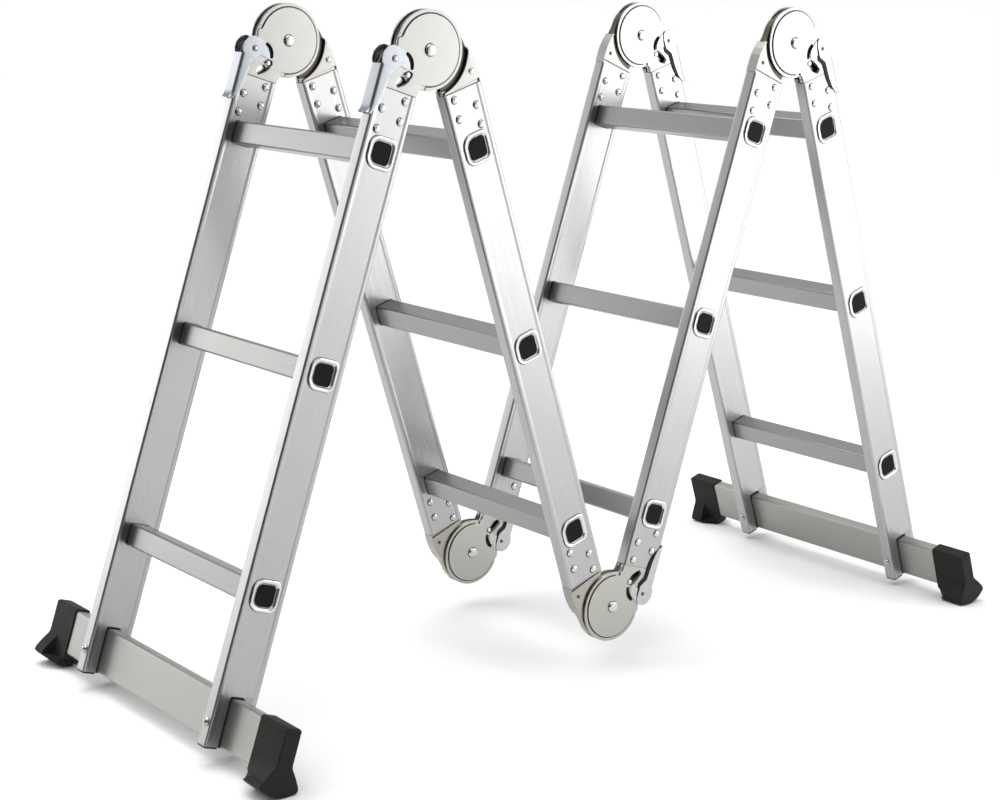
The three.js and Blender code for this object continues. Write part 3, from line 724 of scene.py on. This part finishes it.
def outer_half_mesh(m):
    """Two side pans with a stepped rim, pressed flush into the arm, and the spacers between them."""
    s = Solid("ts", m)
    pivot = circle(6.5, 28)
    base = arc(50.0, 72.0, 358.0, 72) + [(61.0, 2.2), (61.8, 4.2), (119, 4.2), (119, 60.2), (61.8, 60.2), (61.0, 61.0),
            (40.0, 61.0), (24.0, 58.5), (17.5, 53.5)]
    raised = arc(44.3, 96.0, 352.0, 66) + smooth([(47.5, -2.0), (52.0, 1.6), (61.5, 2.6), (61.5, 61.0), (40.0, 61.0), (24.0, 58.5), (17.5, 53.5), (14.0, 47.6), (2.0, 49.4), (-3.6, 48.2)], [3, 3, 0.3, 0.6, 2, 2, 2, 1.5, 2, 3.0])
    for f in (1, -1):
        def y(v):
            return v if f > 0 else RAIL_D - v
        a, b = sorted((y(2.6), y(4.8)))
        s.slab(base, [pivot, WINDOW, SLOT], a, b, 0.45)
        a, b = sorted((y(0.4), y(2.75)))
        s.slab(raised, [pivot, WINDOW, SLOT], a, b, 0.55 if f > 0 else 0.2, 0.2 if f > 0 else 0.55)
        a, b = sorted((y(1.7), y(2.7)))
        ring = arc(49.9, 98.0, 350.0, 60) + arc(46.0, 350.0, 98.0, 60)
        s.slab(ring, [], a, b, 0.3 if f > 0 else 0.2, 0.2 if f > 0 else 0.3)
        a, b = sorted((y(4.75), y(7.1)))
        s.slab(arc(46.2, 74.0, 356.0, 60) + [(46.0, 20.0), (34.0, 31.0)], [pivot], a, b, 0.3)
    # spacers under the ear and in the rail's mouth
    s.slab(smooth([(63, 8), (118, 8), (118, 56), (63, 56)], 3), [], 4.7, RAIL_D - 4.7, 0.3)
    # tabs that stop the section against its neighbour
    for y0 in (3.0, 11.4):
        s.slab(smooth([(55.0, 2.2), (61.4, 2.2), (61.4, 9.0), (57.0, 9.0)], 0.8), [], y0, y0 + 5.1, 0.4)
    return s.mesh(f"outer_half{m}", 36)


def inner_half_mesh(m):
    """Leaf plates cut back round the disc, their stepped crescent, and the outer wall."""
    s = Solid("ts", m)
    leaf = smooth([(61.5, 62.1), (46, 62.1), (36, 61.2), (26, 59.2), (17.0, 56.2)], [0.3, 2, 3, 3, 0]) + arc(58.2, 72.0, 5.0, 26) + [(61.5, 3.4)]
    wall = smooth([(15.0, 55.6), (26, 59.3), (36, 61.4), (46, 62.2), (61.5, 62.2), (61.5, 60.6), (46, 60.5), (36.6, 59.6), (27, 57.5), (15.6, 53.9)], [0.6, 14, 14, 14, 0.3, 0.3, 14, 14, 14, 0.6], 6)
    for f in (1, -1):
        def y(v):
            return v if f > 0 else RAIL_D - v
        a, b = sorted((y(0.5), y(2.7)))
        s.slab(leaf, [], a, b, 0.5 if f > 0 else 0.2, 0.2 if f > 0 else 0.5)
        a, b = sorted((y(2.78), y(4.7)))
        s.slab([(59.6, 10.0), (118, 4.2), (118, 60.2), (50.5, 60.2), (53.0, 27.0)], [], a, b, 0.2)
    s.slab(wall, [], 0.55, RAIL_D - 0.55, 0.45)
    for y0 in (3.0, 11.4):
        s.slab(smooth([(55.0, 2.2), (61.4, 2.2), (61.4, 9.0), (57.0, 9.0)], 0.8), [], y0, y0 + 5.1, 0.4)
    return s.mesh(f"inner_half{m}", 36)


def crescent_mesh(m):
    """Inner plates that show round the disc, and the strap over the cam's edge; at the upper hinges their dark colour
    is painted shade.
    """
    s = Solid("ts", m)
    crescent = [(1.0, 51.9), (8.0, 53.0), (15.5, 54.6)] + arc(59.4, 68.0, 3.0, 28) + arc(50.9, 3.0, 88.0, 32)
    step = arc(59.3, 67.5, 4.0, 28) + arc(57.8, 4.0, 69.0, 28)
    strap = smooth([(-21.0, 45.6), (-16, 48.3), (-8, 50.9), (0, 52.3), (8, 53.8), (20.0, 57.0), (20.4, 55.2), (8.4, 52.0), (0, 50.7), (-7.8, 49.4), (-15.6, 46.9), (-20.6, 44.5)], [0.4, 4, 4, 4, 4, 0.3, 0.3, 4, 4, 4, 4, 0.4], 3)
    for f in (1, -1):
        def y(v):
            return v if f > 0 else RAIL_D - v
        a, b = sorted((y(5.4), y(6.9)))
        s.slab(crescent, [], a, b, 0.2)
        a, b = sorted((y(2.6), y(6.7)))
        s.slab(step, [], a, b, 0.2)
    s.slab(strap, [], 5.0, RAIL_D - 5.0, 0.4)
    return s.mesh(f"inner_plates{m}", 36)


def leaf_rivet_mesh(m, r, h):
    s = Solid("ts", m)
    rivet(s, 45.0, 52.0, 0.5, -1, r, h)
    rivet(s, 45.0, 52.0, RAIL_D - 0.5, 1, r, h)
    return s.mesh("leaf_rivet")


def shade_mesh(m):
    """Painted shade: a black plate behind the crescent windows."""
    s = Solid("ts", m)
    o = offset(ccw(WINDOW), 0.15)
    s.slab(o, [], 3.3, 4.6, 0.1)
    s.slab(o, [], RAIL_D - 4.6, RAIL_D - 3.3, 0.1)
    return s.mesh(f"shade{m}", 40)


def groove_shade_mesh(m):
    """Painted shade: a dark annulus on the bottom of the groove pressed round the disc."""
    s = Solid("ts", m)
    o = arc(45.95, 98.0, 350.0, 60) + arc(44.35, 350.0, 98.0, 60)
    s.slab(o, [], 2.25, 2.7, 0.02)
    s.slab(o, [], RAIL_D - 2.7, RAIL_D - 2.25, 0.02)
    return s.mesh(f"groove{m}", 40)


def cam_mesh(m):
    """Locking plate between the side pans, notched where the pins drop in."""
    s = Solid("ts", m)
    R, depth, half = 48.3, 40.2, 4.0
    notches = [-29.8, -65.8, -137.8, -209.8]
    pts = []
    a = -10.0
    marks = sorted(notches, reverse=True)
    w = math.degrees(math.asin(half / R))
    wi = math.degrees(math.asin(half / depth))
    for n in marks:
        while a > n + w + 3:
            pts.append((R * math.cos(math.radians(a)), R * math.sin(math.radians(a))))
            a -= 5.0
        for rr, q in ((R, n + w + 0.8), (R - 0.8, n + w * 1.0), (depth + 1.2, n + wi), (depth, n + wi * 0.6), (depth, n - wi * 0.6), (depth + 1.2, n - wi), (R - 0.8, n - w), (R, n - w - 0.8)):
            pts.append((rr * math.cos(math.radians(q)), rr * math.sin(math.radians(q))))
        a = n - w - 4
    while a > -350.0:
        pts.append((R * math.cos(math.radians(a)), R * math.sin(math.radians(a))))
        a -= 5.0
    s.slab(pts, [circle(6.3, 28)], 7.4, RAIL_D - 7.4, 0.35)
    return s.mesh(f"cam{m}", 36)


def pivot_mesh():
    s = Solid("xz")
    d = RAIL_D
    half = [(0, -3.1), (5.2, -3.1), (6.4, -2.8), (7.2, -2.1), (7.7, -1.2), (7.9, -0.3), (7.9, 0.2), (6.0, 0.35)]
    s.lathe(half + [(r, d - h) for r, h in reversed(half)], 40)
    return s.mesh("pivot", 40)


def pivot_shadows_mesh():
    """Painted shadow: a black ring under the edge of the pivot's heads, 0.2 mm off centre."""
    s = Solid("xz")
    half = [(7.0, 0.22), (8.3, 0.22), (8.45, 0.3), (8.45, 0.7), (7.0, 0.7)]
    for prof in (half, [(r, RAIL_D - h) for r, h in half]):
        s.lathe(prof, 40, -0.2, 0.0)
    return s.mesh("pivot_shadows", 40)


LEVER_SIDE = [(9.6, 43), (21, 40.5), (36, 41), (46, 50.0), (70, 51.8), (84, 54.6), (92, 58), (97.5, 62.2), (36.5, 62.2), (35.5, 65.4),
              (30, 67.2), (22, 67), (13.6, 62.5), (9.6, 55)]


def lever_mesh(m, big, tip=1.0):
    """Release lever bent from sheet: two cheeks, a back web with soft bends and a curled tip."""
    s = Solid("ts", m)
    side = smooth(LEVER_SIDE, [7, 6, 6, 7, 9, 9, 6, 1.5, 0.3, 2.5, 5, 5, 6, 6], 8)
    y0, y1 = -1.8, RAIL_D + 1.8
    s.slab(side, [], y0, y0 + 1.2, 0.35)
    s.slab(side, [], y1 - 1.2, y1, 0.35)
    # back web: U profile lofted along t, curled outwards at the tip
    rows = [(36.4, 0.0), (37.0, 0.0), (50, 0.0), (64, 0.0), (78, 0.0), (88, 0.1), (92, 0.5), (95, 1.2), (97.2, 2.2), (98.4, 3.2)]
    rings = []
    R = 3.4
    for t, curl in rows:
        so = 65.8 + curl * tip
        pts = [(61.9, y0)]
        pts += [(so - R + R * math.sin(math.radians(q)), y0 + R - R * math.cos(math.radians(q))) for q in range(0, 91, 15)]
        pts += [(so - R + R * math.cos(math.radians(q)), y1 - R + R * math.sin(math.radians(q))) for q in range(0, 91, 15)]
        pts += [(61.9, y1), (61.9, y1 - 1.2)]
        ri = R - 1.2
        si = so - 1.2
        pts += [(si - ri + ri * math.sin(math.radians(q)), y1 - 1.2 - ri + ri * math.cos(math.radians(q))) for q in range(0, 91, 15)]
        pts += [(si - ri + ri * math.cos(math.radians(q)), y0 + 1.2 + ri - ri * math.sin(math.radians(q))) for q in range(0, 91, 15)]
        pts += [(61.9, y0 + 1.2)]
        i0 = len(s.v)
        for ss, yy in pts:
            s.v.append((m * ss, yy, -t))
        rings.append(list(range(i0, len(s.v))))
    for a, b in zip(rings, rings[1:]):
        s.bridge(a, b)
    for r in (rings[0], rings[-1]):
        polys = [[Vector((s.v[i][0], s.v[i][1], 0)) for i in r]]
        for tri in tessellate_polygon(polys):
            s.f.append(tuple(r[k] for k in tri))
    # nose that draws the pin, just over the pan's face
    nose = smooth([(15.6, 35.2), (19.2, 29.4), (24.4, 25.2), (31.2, 22.9), (33.6, 27.5), (31.5, 36.0), (34.0, 43.0), (12.0, 45.0), (11.6, 40.0)], 2.0)
    s.slab(nose, [], -0.55, 0.15, 0.2)
    s.slab(nose, [], RAIL_D - 0.15, RAIL_D + 0.55, 0.2)
    # lip bent in along the cheek's inner edge
    lip = smooth([(36.5, 41.4), (46.0, 50.3), (70, 52.1), (84, 54.9), (91.6, 58.3), (91.0, 59.1), (83.6, 55.8), (69.7, 53.0), (45.5, 51.2), (36.0, 42.2)], 0.3, 2)
    s.slab(lip, [], y0 + 0.4, 0.2, 0.25)
    s.slab(lip, [], RAIL_D - 0.2, y1 - 0.4, 0.25)
    # pivot pin heads
    if big:
        for q, base in ((-1, y0), (1, y1)):
            s.lathe([(0, base + q * 1.5), (2.4, base + q * 1.45), (3.8, base + q * 1.1), (4.5, base + q * 0.5), (4.6, base - q * 0.1)], 24, 25.5, 49.0)
    s.lathe([(0, y0), (2.9, y0), (2.9, y1), (0, y1)], 20, 25.5, 49.0)
    return s.mesh(f"lever{m}", 36)


def lever_shadow_strip_mesh(m):
    """Painted shadow: a black strip under the inner edge of the lever's cheeks."""
    s = Solid("ts", m)
    pts = smooth([(21.0, 41.3), (36.5, 41.6), (46.0, 50.2), (70, 52.0), (84, 54.8), (93.5, 59.4), (84, 50.9), (70, 47.0), (48.6, 45.0), (39.6, 38.0), (22.0, 39.4)], [0.5, 2, 3, 4, 4, 0.4, 4, 4, 3, 2, 0.5], 3)
    s.slab(pts, [], -0.95, 0.2, 0.25)
    s.slab(pts, [], RAIL_D - 0.2, RAIL_D + 0.95, 0.25)
    return s.mesh(f"lever_shadow_strip{m}", 40)


def lever_pin_mesh(m):
    """Small dark ends of the lever's pin, with a dished centre."""
    s = Solid("ts", m)
    for q, base in ((-1, -1.8), (1, RAIL_D + 1.8)):
        s.lathe([(0, base + q * 0.1), (1.1, base + q * 0.15), (1.7, base + q * 0.5), (2.3, base + q * 0.5), (2.6, base + q * 0.2), (2.6, base - q * 0.3), (0, base - q * 0.3)], 24, 25.5, 49.0)
    return s.mesh(f"lever_pin{m}", 40)


def coil_mesh(m):
    """Return spring round the lever's pin."""
    s = Solid("ts", m)
    turns, n, k, wire, R = 5.0, 18, 8, 0.75, 4.4
    steps = int(turns * n)
    prev = None
    for i in range(steps + 1):
        a = 2 * math.pi * i / n
        y = 5.2 + 9.0 * i / steps
        c = (25.5 + R * math.cos(a), 49.0 + R * math.sin(a))
        ring = []
        for j in range(k):
            q = 2 * math.pi * j / k
            rr = R + wire * math.cos(q)
            s.v.append((m * (49.0 + rr * math.sin(a)), y + wire * math.sin(q), -(25.5 + rr * math.cos(a))))
            ring.append(len(s.v) - 1)
        if prev:
            s.bridge(prev, ring)
        else:
            s.f.append(tuple(ring))
        prev = ring
    s.f.append(tuple(prev))
    # leg of the spring, resting on the back web
    s.slab(smooth([(29.0, 52.5), (30.5, 51.7), (58.0, 62.6), (57.4, 63.8)], 0.3), [], 9.0, 10.4, 0.3)
    return s.mesh(f"coil{m}", 60)


def pin_mesh():
    s = Solid("xz")
    d = RAIL_D
    half = [(0, 1.25), (2.4, 1.25), (3.1, 1.5), (3.45, 2.1), (3.45, 3.0)]
    s.lathe(half + [(r, d - h) for r, h in reversed(half)], 28)
    return s.mesh("lock_pin", 40)


# ------------------------------------------------------------------ assembly
SECTIONS = (("a", "ab", LEAN, -1, True), ("b", "ab", -LEAN, 1, False), ("c", "cd", LEAN, -1, False), ("d", "cd", -LEAN, 1, True))
for sec, hinge, deg, m, outer in SECTIONS:
    body = f"section_{sec}"
    for side, y in SIDES:
        me = once(("rail", outer), lambda: rail_mesh(outer))
        add(f"rail_{sec}_{side}_visual", me, RAIL_M, body, place(hinge, deg, m * RAIL_OFFSET, y), [f"rail_{sec}_{side}"])
        me = once(("rivets", m, outer), lambda: rivets_mesh(m, outer))
        add(f"rivets_{sec}_{side}", me, RIVET_M, body, place(hinge, deg, 0, y))
        me = once(("shadows", m, outer), lambda: rivet_shadows_mesh(m, outer))
        add(f"rivet_shadows_{sec}_{side}", me, BLACK_PLASTIC_AND_SHADE_M, body, place(hinge, deg, 0, y))
        if outer:
            add(f"rail_insert_{sec}_{side}", once("strip", strip_mesh), STRIP_M, body, place(hinge, deg, m * RAIL_OFFSET, y))
            add(f"rail_cap_{sec}_{side}", once("cap", cap_mesh), BLACK_PLASTIC_AND_SHADE_M, body, place(hinge, deg, m * RAIL_OFFSET, y))
            add(f"slot_liner_{sec}_{side}", once("slot_liner", slot_liner_mesh), BLACK_PLASTIC_AND_SHADE_M, body, place(hinge, deg, m * RAIL_OFFSET, y))
            add(f"bar_bolt_{sec}_{side}_visual", once("bolt", bolt_mesh), BOLT_M, body, place(hinge, deg, m * RAIL_OFFSET, y), [f"bar_bolt_{sec}_{side}"])
    for i, t in enumerate(RUNG_AT):
        at = place(hinge, deg, m * RAIL_OFFSET, Y_NEAR, -t)
        add(f"rung_{sec}{i + 1}_visual", once("rung", rung_mesh), RUNG_M, body, at, [f"rung_{sec}{i + 1}"])
        add(f"rung_rims_{sec}{i + 1}", once(("rims", m), lambda: rim_mesh(m)), RIM_M, body, at)
        add(f"rung_rim_shadows_{sec}{i + 1}", once(("rim_shadows", m), lambda: rim_shadow_mesh(m)), BLACK_PLASTIC_AND_SHADE_M, body, at)
        add(f"rung_plugs_{sec}{i + 1}", once(("plugs", m), lambda: plugs_mesh(m)), PLUG_M, body, at)
    if outer:
        add(f"stabiliser_bar_{sec}_visual", once("bar", bar_mesh), BAR_M, body, place(hinge, deg, m * RAIL_OFFSET, Y_NEAR), [f"stabiliser_bar_{sec}"])
        for side, y, turn in (("near", Y_NEAR, 0), ("far", -Y_NEAR, 180)):
            at = place(hinge, deg, m * RAIL_OFFSET, y) @ Matrix.Rotation(math.radians(turn), 4, "Z")
            add(f"foot_{sec}_{side}_visual", once("foot", foot_mesh), FOOT_M, body, at, [f"foot_{sec}_{side}"])
            add(f"foot_dimple_shades_{sec}_{side}", once("dimple_shades", dimple_shades_mesh), BLACK_PLASTIC_AND_SHADE_M, body, at)

# hinge id, outer half's frame turn and handedness, inner half's
HINGES = (("ab", LEAN, -1, "a", -LEAN, 1, "b"), ("bc", LEAN - 180, -1, "c", 180 - LEAN, 1, "b"), ("cd", -LEAN, 1, "d", LEAN, -1, "c"))
PD = math.radians(29.8)
for hid, do, mo, bo, di, mi, bi in HINGES:
    for side, y in SIDES:
        pre = f"hinge_{hid}_{side}"
        ob, ib = f"section_{bo}", f"section_{bi}"
        low = hid == "bc"
        # the low hinge's pans and levers take the painted-light copies
        add(f"{pre}_pans", once(("outer", mo, low), lambda: outer_half_mesh(mo)), PLATE_PAINTED_LIGHT_M if low else PLATE_M, ob, place(hid, do, 0, y), [f"{pre}_outer"])
        add(f"{pre}_leaf", once(("inner", mi, low), lambda: inner_half_mesh(mi)), WALL_M if low else PLATE_M, ib, place(hid, di, 0, y), [f"{pre}_inner"])
        add(f"{pre}_shade", once(("shade", mo), lambda: shade_mesh(mo)), BLACK_PLASTIC_AND_SHADE_M, ob, place(hid, do, 0, y))
        # painted shade in the disc's groove
        add(f"{pre}_groove", once(("groove", mo), lambda: groove_shade_mesh(mo)), DARK_STEEL_AND_SHADE_M, ob, place(hid, do, 0, y))
        # upper hinges: the inner plates and cam take painted shade; the low hinge shows them in the wall finish
        add(f"{pre}_plates", once(("plates", mi, low), lambda: crescent_mesh(mi)), WALL_M if low else DARK_STEEL_AND_SHADE_M, ib, place(hid, di, 0, y))
        add(f"{pre}_cam", once(("cam", mi, low), lambda: cam_mesh(mi)), WALL_M if low else DARK_STEEL_AND_SHADE_M, ib, place(hid, di, 0, y))
        add(f"{pre}_leaf_rivets", once(("leafrivet", hid), lambda: leaf_rivet_mesh(mi, *((4.4, 1.9) if hid == "ab" else (2.7, 1.0)))), RIVET_M if hid == "ab" else DARK_STEEL_AND_SHADE_M, ib, place(hid, di, 0, y))
        add(f"{pre}_rivet", once("pivot", pivot_mesh), RIVET_M, ob, place(hid, do, 0, y), [f"{pre}_pivot"])
        add(f"{pre}_pivot_shadows", once("pivotshadows", pivot_shadows_mesh), BLACK_PLASTIC_AND_SHADE_M, ob, place(hid, do, 0, y))
        add(f"{pre}_handle", once(("lever", hid), lambda: lever_mesh(mo, hid == "ab", 0.15 if low else 1.0)), LEVER_PAINTED_LIGHT_M if low else LEVER_M, f"lever_{hid}_{side}", place(hid, do, 0, y), [f"{pre}_lever"])
        if hid != "ab":
            add(f"{pre}_liner", once(("shadow_strip", mo), lambda: lever_shadow_strip_mesh(mo)), BLACK_PLASTIC_AND_SHADE_M, f"lever_{hid}_{side}", place(hid, do, 0, y))
            add(f"{pre}_lever_pin", once(("leverpin", mo), lambda: lever_pin_mesh(mo)), DARK_STEEL_AND_SHADE_M, f"lever_{hid}_{side}", place(hid, do, 0, y))
        add(f"{pre}_coil", once(("coil", mo), lambda: coil_mesh(mo)), SPRING_M, f"lever_{hid}_{side}", place(hid, do, 0, y))
        pt, ps = 44.3 * math.cos(PD), 44.3 * math.sin(PD)
        add(f"{pre}_pin", once("pin", pin_mesh), RIVET_M, f"lock_pin_{hid}_{side}", place(hid, do, mo * ps, y, -pt), [f"{pre}_lock_pin"])

# ------------------------------------------------------------------ stage
def floor():
    m, nt, b = nodes_of("floor_pale")
    col = ramp(nt, noise(nt, 1.3, (1, 1, 1), 2.0), (0.875, 0.875, 0.875), (0.885, 0.885, 0.885))
    nt.links.new(col, b.inputs["Base Color"])
    b.inputs["Roughness"].default_value = 0.9
    b.inputs["Specular IOR Level"].default_value = 0.1
    bm = bmesh.new()
    bmesh.ops.create_grid(bm, x_segments=8, y_segments=8, size=60.0)
    me = bpy.data.meshes.new("floor")
    bm.to_mesh(me)
    bm.free()
    me.materials.append(m)
    o = bpy.data.objects.new("floor", me)
    o.location = (0, 0, -0.0006)
    bpy.context.scene.collection.objects.link(o)
    return o


floor()


def backdrop():
    """White drum far behind everything, only there for the camera."""
    m = bpy.data.materials.new("backdrop_white")
    m.use_nodes = True
    nt = m.node_tree
    nt.nodes.clear()
    out = nt.nodes.new("ShaderNodeOutputMaterial")
    em = nt.nodes.new("ShaderNodeEmission")
    nt.links.new(ramp(nt, noise(nt, 0.02, (1, 1, 1), 2.0), (0.985, 0.985, 0.985), (1.0, 1.0, 1.0)), em.inputs["Color"])
    nt.links.new(em.outputs[0], out.inputs[0])
    bm = bmesh.new()
    n, r = 96, 55.0
    low = [bm.verts.new((r * math.cos(2 * math.pi * k / n), r * math.sin(2 * math.pi * k / n), -0.1)) for k in range(n)]
    high = [bm.verts.new((v.co.x, v.co.y, 45.0)) for v in low]
    for k in range(n):
        j = (k + 1) % n
        bm.faces.new((low[k], low[j], high[j], high[k]))
    me = bpy.data.meshes.new("backdrop")
    bm.to_mesh(me)
    bm.free()
    me.materials.append(m)
    o = bpy.data.objects.new("backdrop", me)
    bpy.context.scene.collection.objects.link(o)
    o.visible_diffuse = False
    o.visible_glossy = False
    o.visible_shadow = False


backdrop()


def area(name, loc, target, size, power, colour=(1, 1, 1), shape="RECTANGLE", size_y=None):
    d = bpy.data.lights.new(name, "AREA")
    d.shape = shape
    d.size = size
    d.size_y = size_y or size
    d.energy = power
    d.color = colour
    o = bpy.data.objects.new(name, d)
    bpy.context.scene.collection.objects.link(o)
    o.location = loc
    o.rotation_mode = "QUATERNION"
    o.rotation_quaternion = (Vector(target) - Vector(loc)).to_track_quat("-Z", "Y")
    o.visible_camera = False
    return o


area("front_right", (2.46, -2.20, 1.0), (0.14, 0.13, 1.0), 2.4, 42.0, size_y=1.98)
area("overhead", (-0.2, 0.6, 3.6), (0, 0, 0.3), 3.0, 40.0, size_y=3.0)

sun = bpy.data.lights.new("skylight", "SUN")
sun.energy = 1.75
sun.angle = math.radians(75)
so = bpy.data.objects.new("skylight", sun)
bpy.context.scene.collection.objects.link(so)
so.rotation_mode = "QUATERNION"
so.rotation_quaternion = Vector((0.25, -0.15, -1.0)).to_track_quat("-Z", "Y")


def studio_world():
    """Bright scrim behind the object, dark room behind the camera, even ceiling."""
    w = bpy.data.worlds.new("studio")
    bpy.context.scene.world = w
    w.use_nodes = True
    nt = w.node_tree
    bg = nt.nodes["Background"]
    tc = nt.nodes.new("ShaderNodeTexCoord")

    def towards(v, lo, hi, a, b):
        d = nt.nodes.new("ShaderNodeVectorMath")
        d.operation = "DOT_PRODUCT"
        d.inputs[1].default_value = Vector(v).normalized()
        nt.links.new(tc.outputs["Generated"], d.inputs[0])
        r = nt.nodes.new("ShaderNodeMapRange")
        r.interpolation_type = "SMOOTHSTEP"
        for k, x in zip(("From Min", "From Max", "To Min", "To Max"), (lo, hi, a, b)):
            r.inputs[k].default_value = x
        nt.links.new(d.outputs["Value"], r.inputs["Value"])
        return r.outputs[0]

    ceiling = towards((0, 0, 1), 0.2, 0.9, 0.62, 0.72)
    scrim = towards((-0.34, 0.94, 0.0), 0.90, 0.99, 0.0, 2.8)
    room = towards((-0.90, -0.43, 0.0), 0.30, 0.85, 1.0, 0.20)
    total = math_node(nt, "MULTIPLY", math_node(nt, "ADD", ceiling, scrim), room)
    nt.links.new(total, bg.inputs["Strength"])
    bg.inputs["Color"].default_value = (1, 1, 1, 1)


studio_world()


def dark_flag():
    """Black cloth round the camera side, seen only in reflections."""
    m, nt, b = nodes_of("flag_cloth")
    col = ramp(nt, noise(nt, 4.0, (1, 1, 1), 2.0), (0.085, 0.085, 0.085), (0.10, 0.10, 0.10))
    nt.links.new(col, b.inputs["Base Color"])
    b.inputs["Roughness"].default_value = 0.95
    b.inputs["Specular IOR Level"].default_value = 0.05
    bm = bmesh.new()
    rows = []
    for k in range(25):
        q = math.radians(172 + (256 - 172) * k / 24)
        c, n = math.cos(q), math.sin(q)
        rows.append([bm.verts.new((c * r, n * r, z)) for r, z in ((0.95, 0.001), (2.1, 0.02), (2.15, 1.1))])
    for a, b2 in zip(rows, rows[1:]):
        for i in range(2):
            bm.faces.new((a[i], b2[i], b2[i + 1], a[i + 1]))
    me = bpy.data.meshes.new("flag")
    bm.to_mesh(me)
    bm.free()
    me.materials.append(m)
    o = bpy.data.objects.new("flag", me)
    bpy.context.scene.collection.objects.link(o)
    o.visible_camera = False
    o.visible_diffuse = False
    o.visible_shadow = False


dark_flag()

sc = bpy.context.scene
sc.view_settings.view_transform = "Standard"
sc.view_settings.look = "None"
sc.view_settings.exposure = 0.0
sc.view_settings.gamma = 1.0

# ------------------------------------------------------------------ camera
cam = bpy.data.cameras.new("camera")
cam.sensor_width = 36.0
cam.lens = 71.70
cam.shift_x = 0.0013
cam.shift_y = -0.0079
cam.clip_start, cam.clip_end = 0.05, 200.0
co = bpy.data.objects.new("camera", cam)
sc.collection.objects.link(co)
yaw, pitch, roll = math.radians(38.0), math.radians(-12.06), math.radians(0.673)
fwd = Vector((math.sin(yaw) * math.cos(pitch), math.cos(yaw) * math.cos(pitch), math.sin(pitch)))
r0 = Vector((math.cos(yaw), -math.sin(yaw), 0))
u0 = r0.cross(fwd)
right = math.cos(roll) * r0 + math.sin(roll) * u0
up = -math.sin(roll) * r0 + math.cos(roll) * u0
rot = Matrix((right, up, -fwd)).transposed()
co.matrix_world = Matrix.Translation((-1.78074, -2.18568, 0.96188)) @ rot.to_4x4()
sc.camera = co
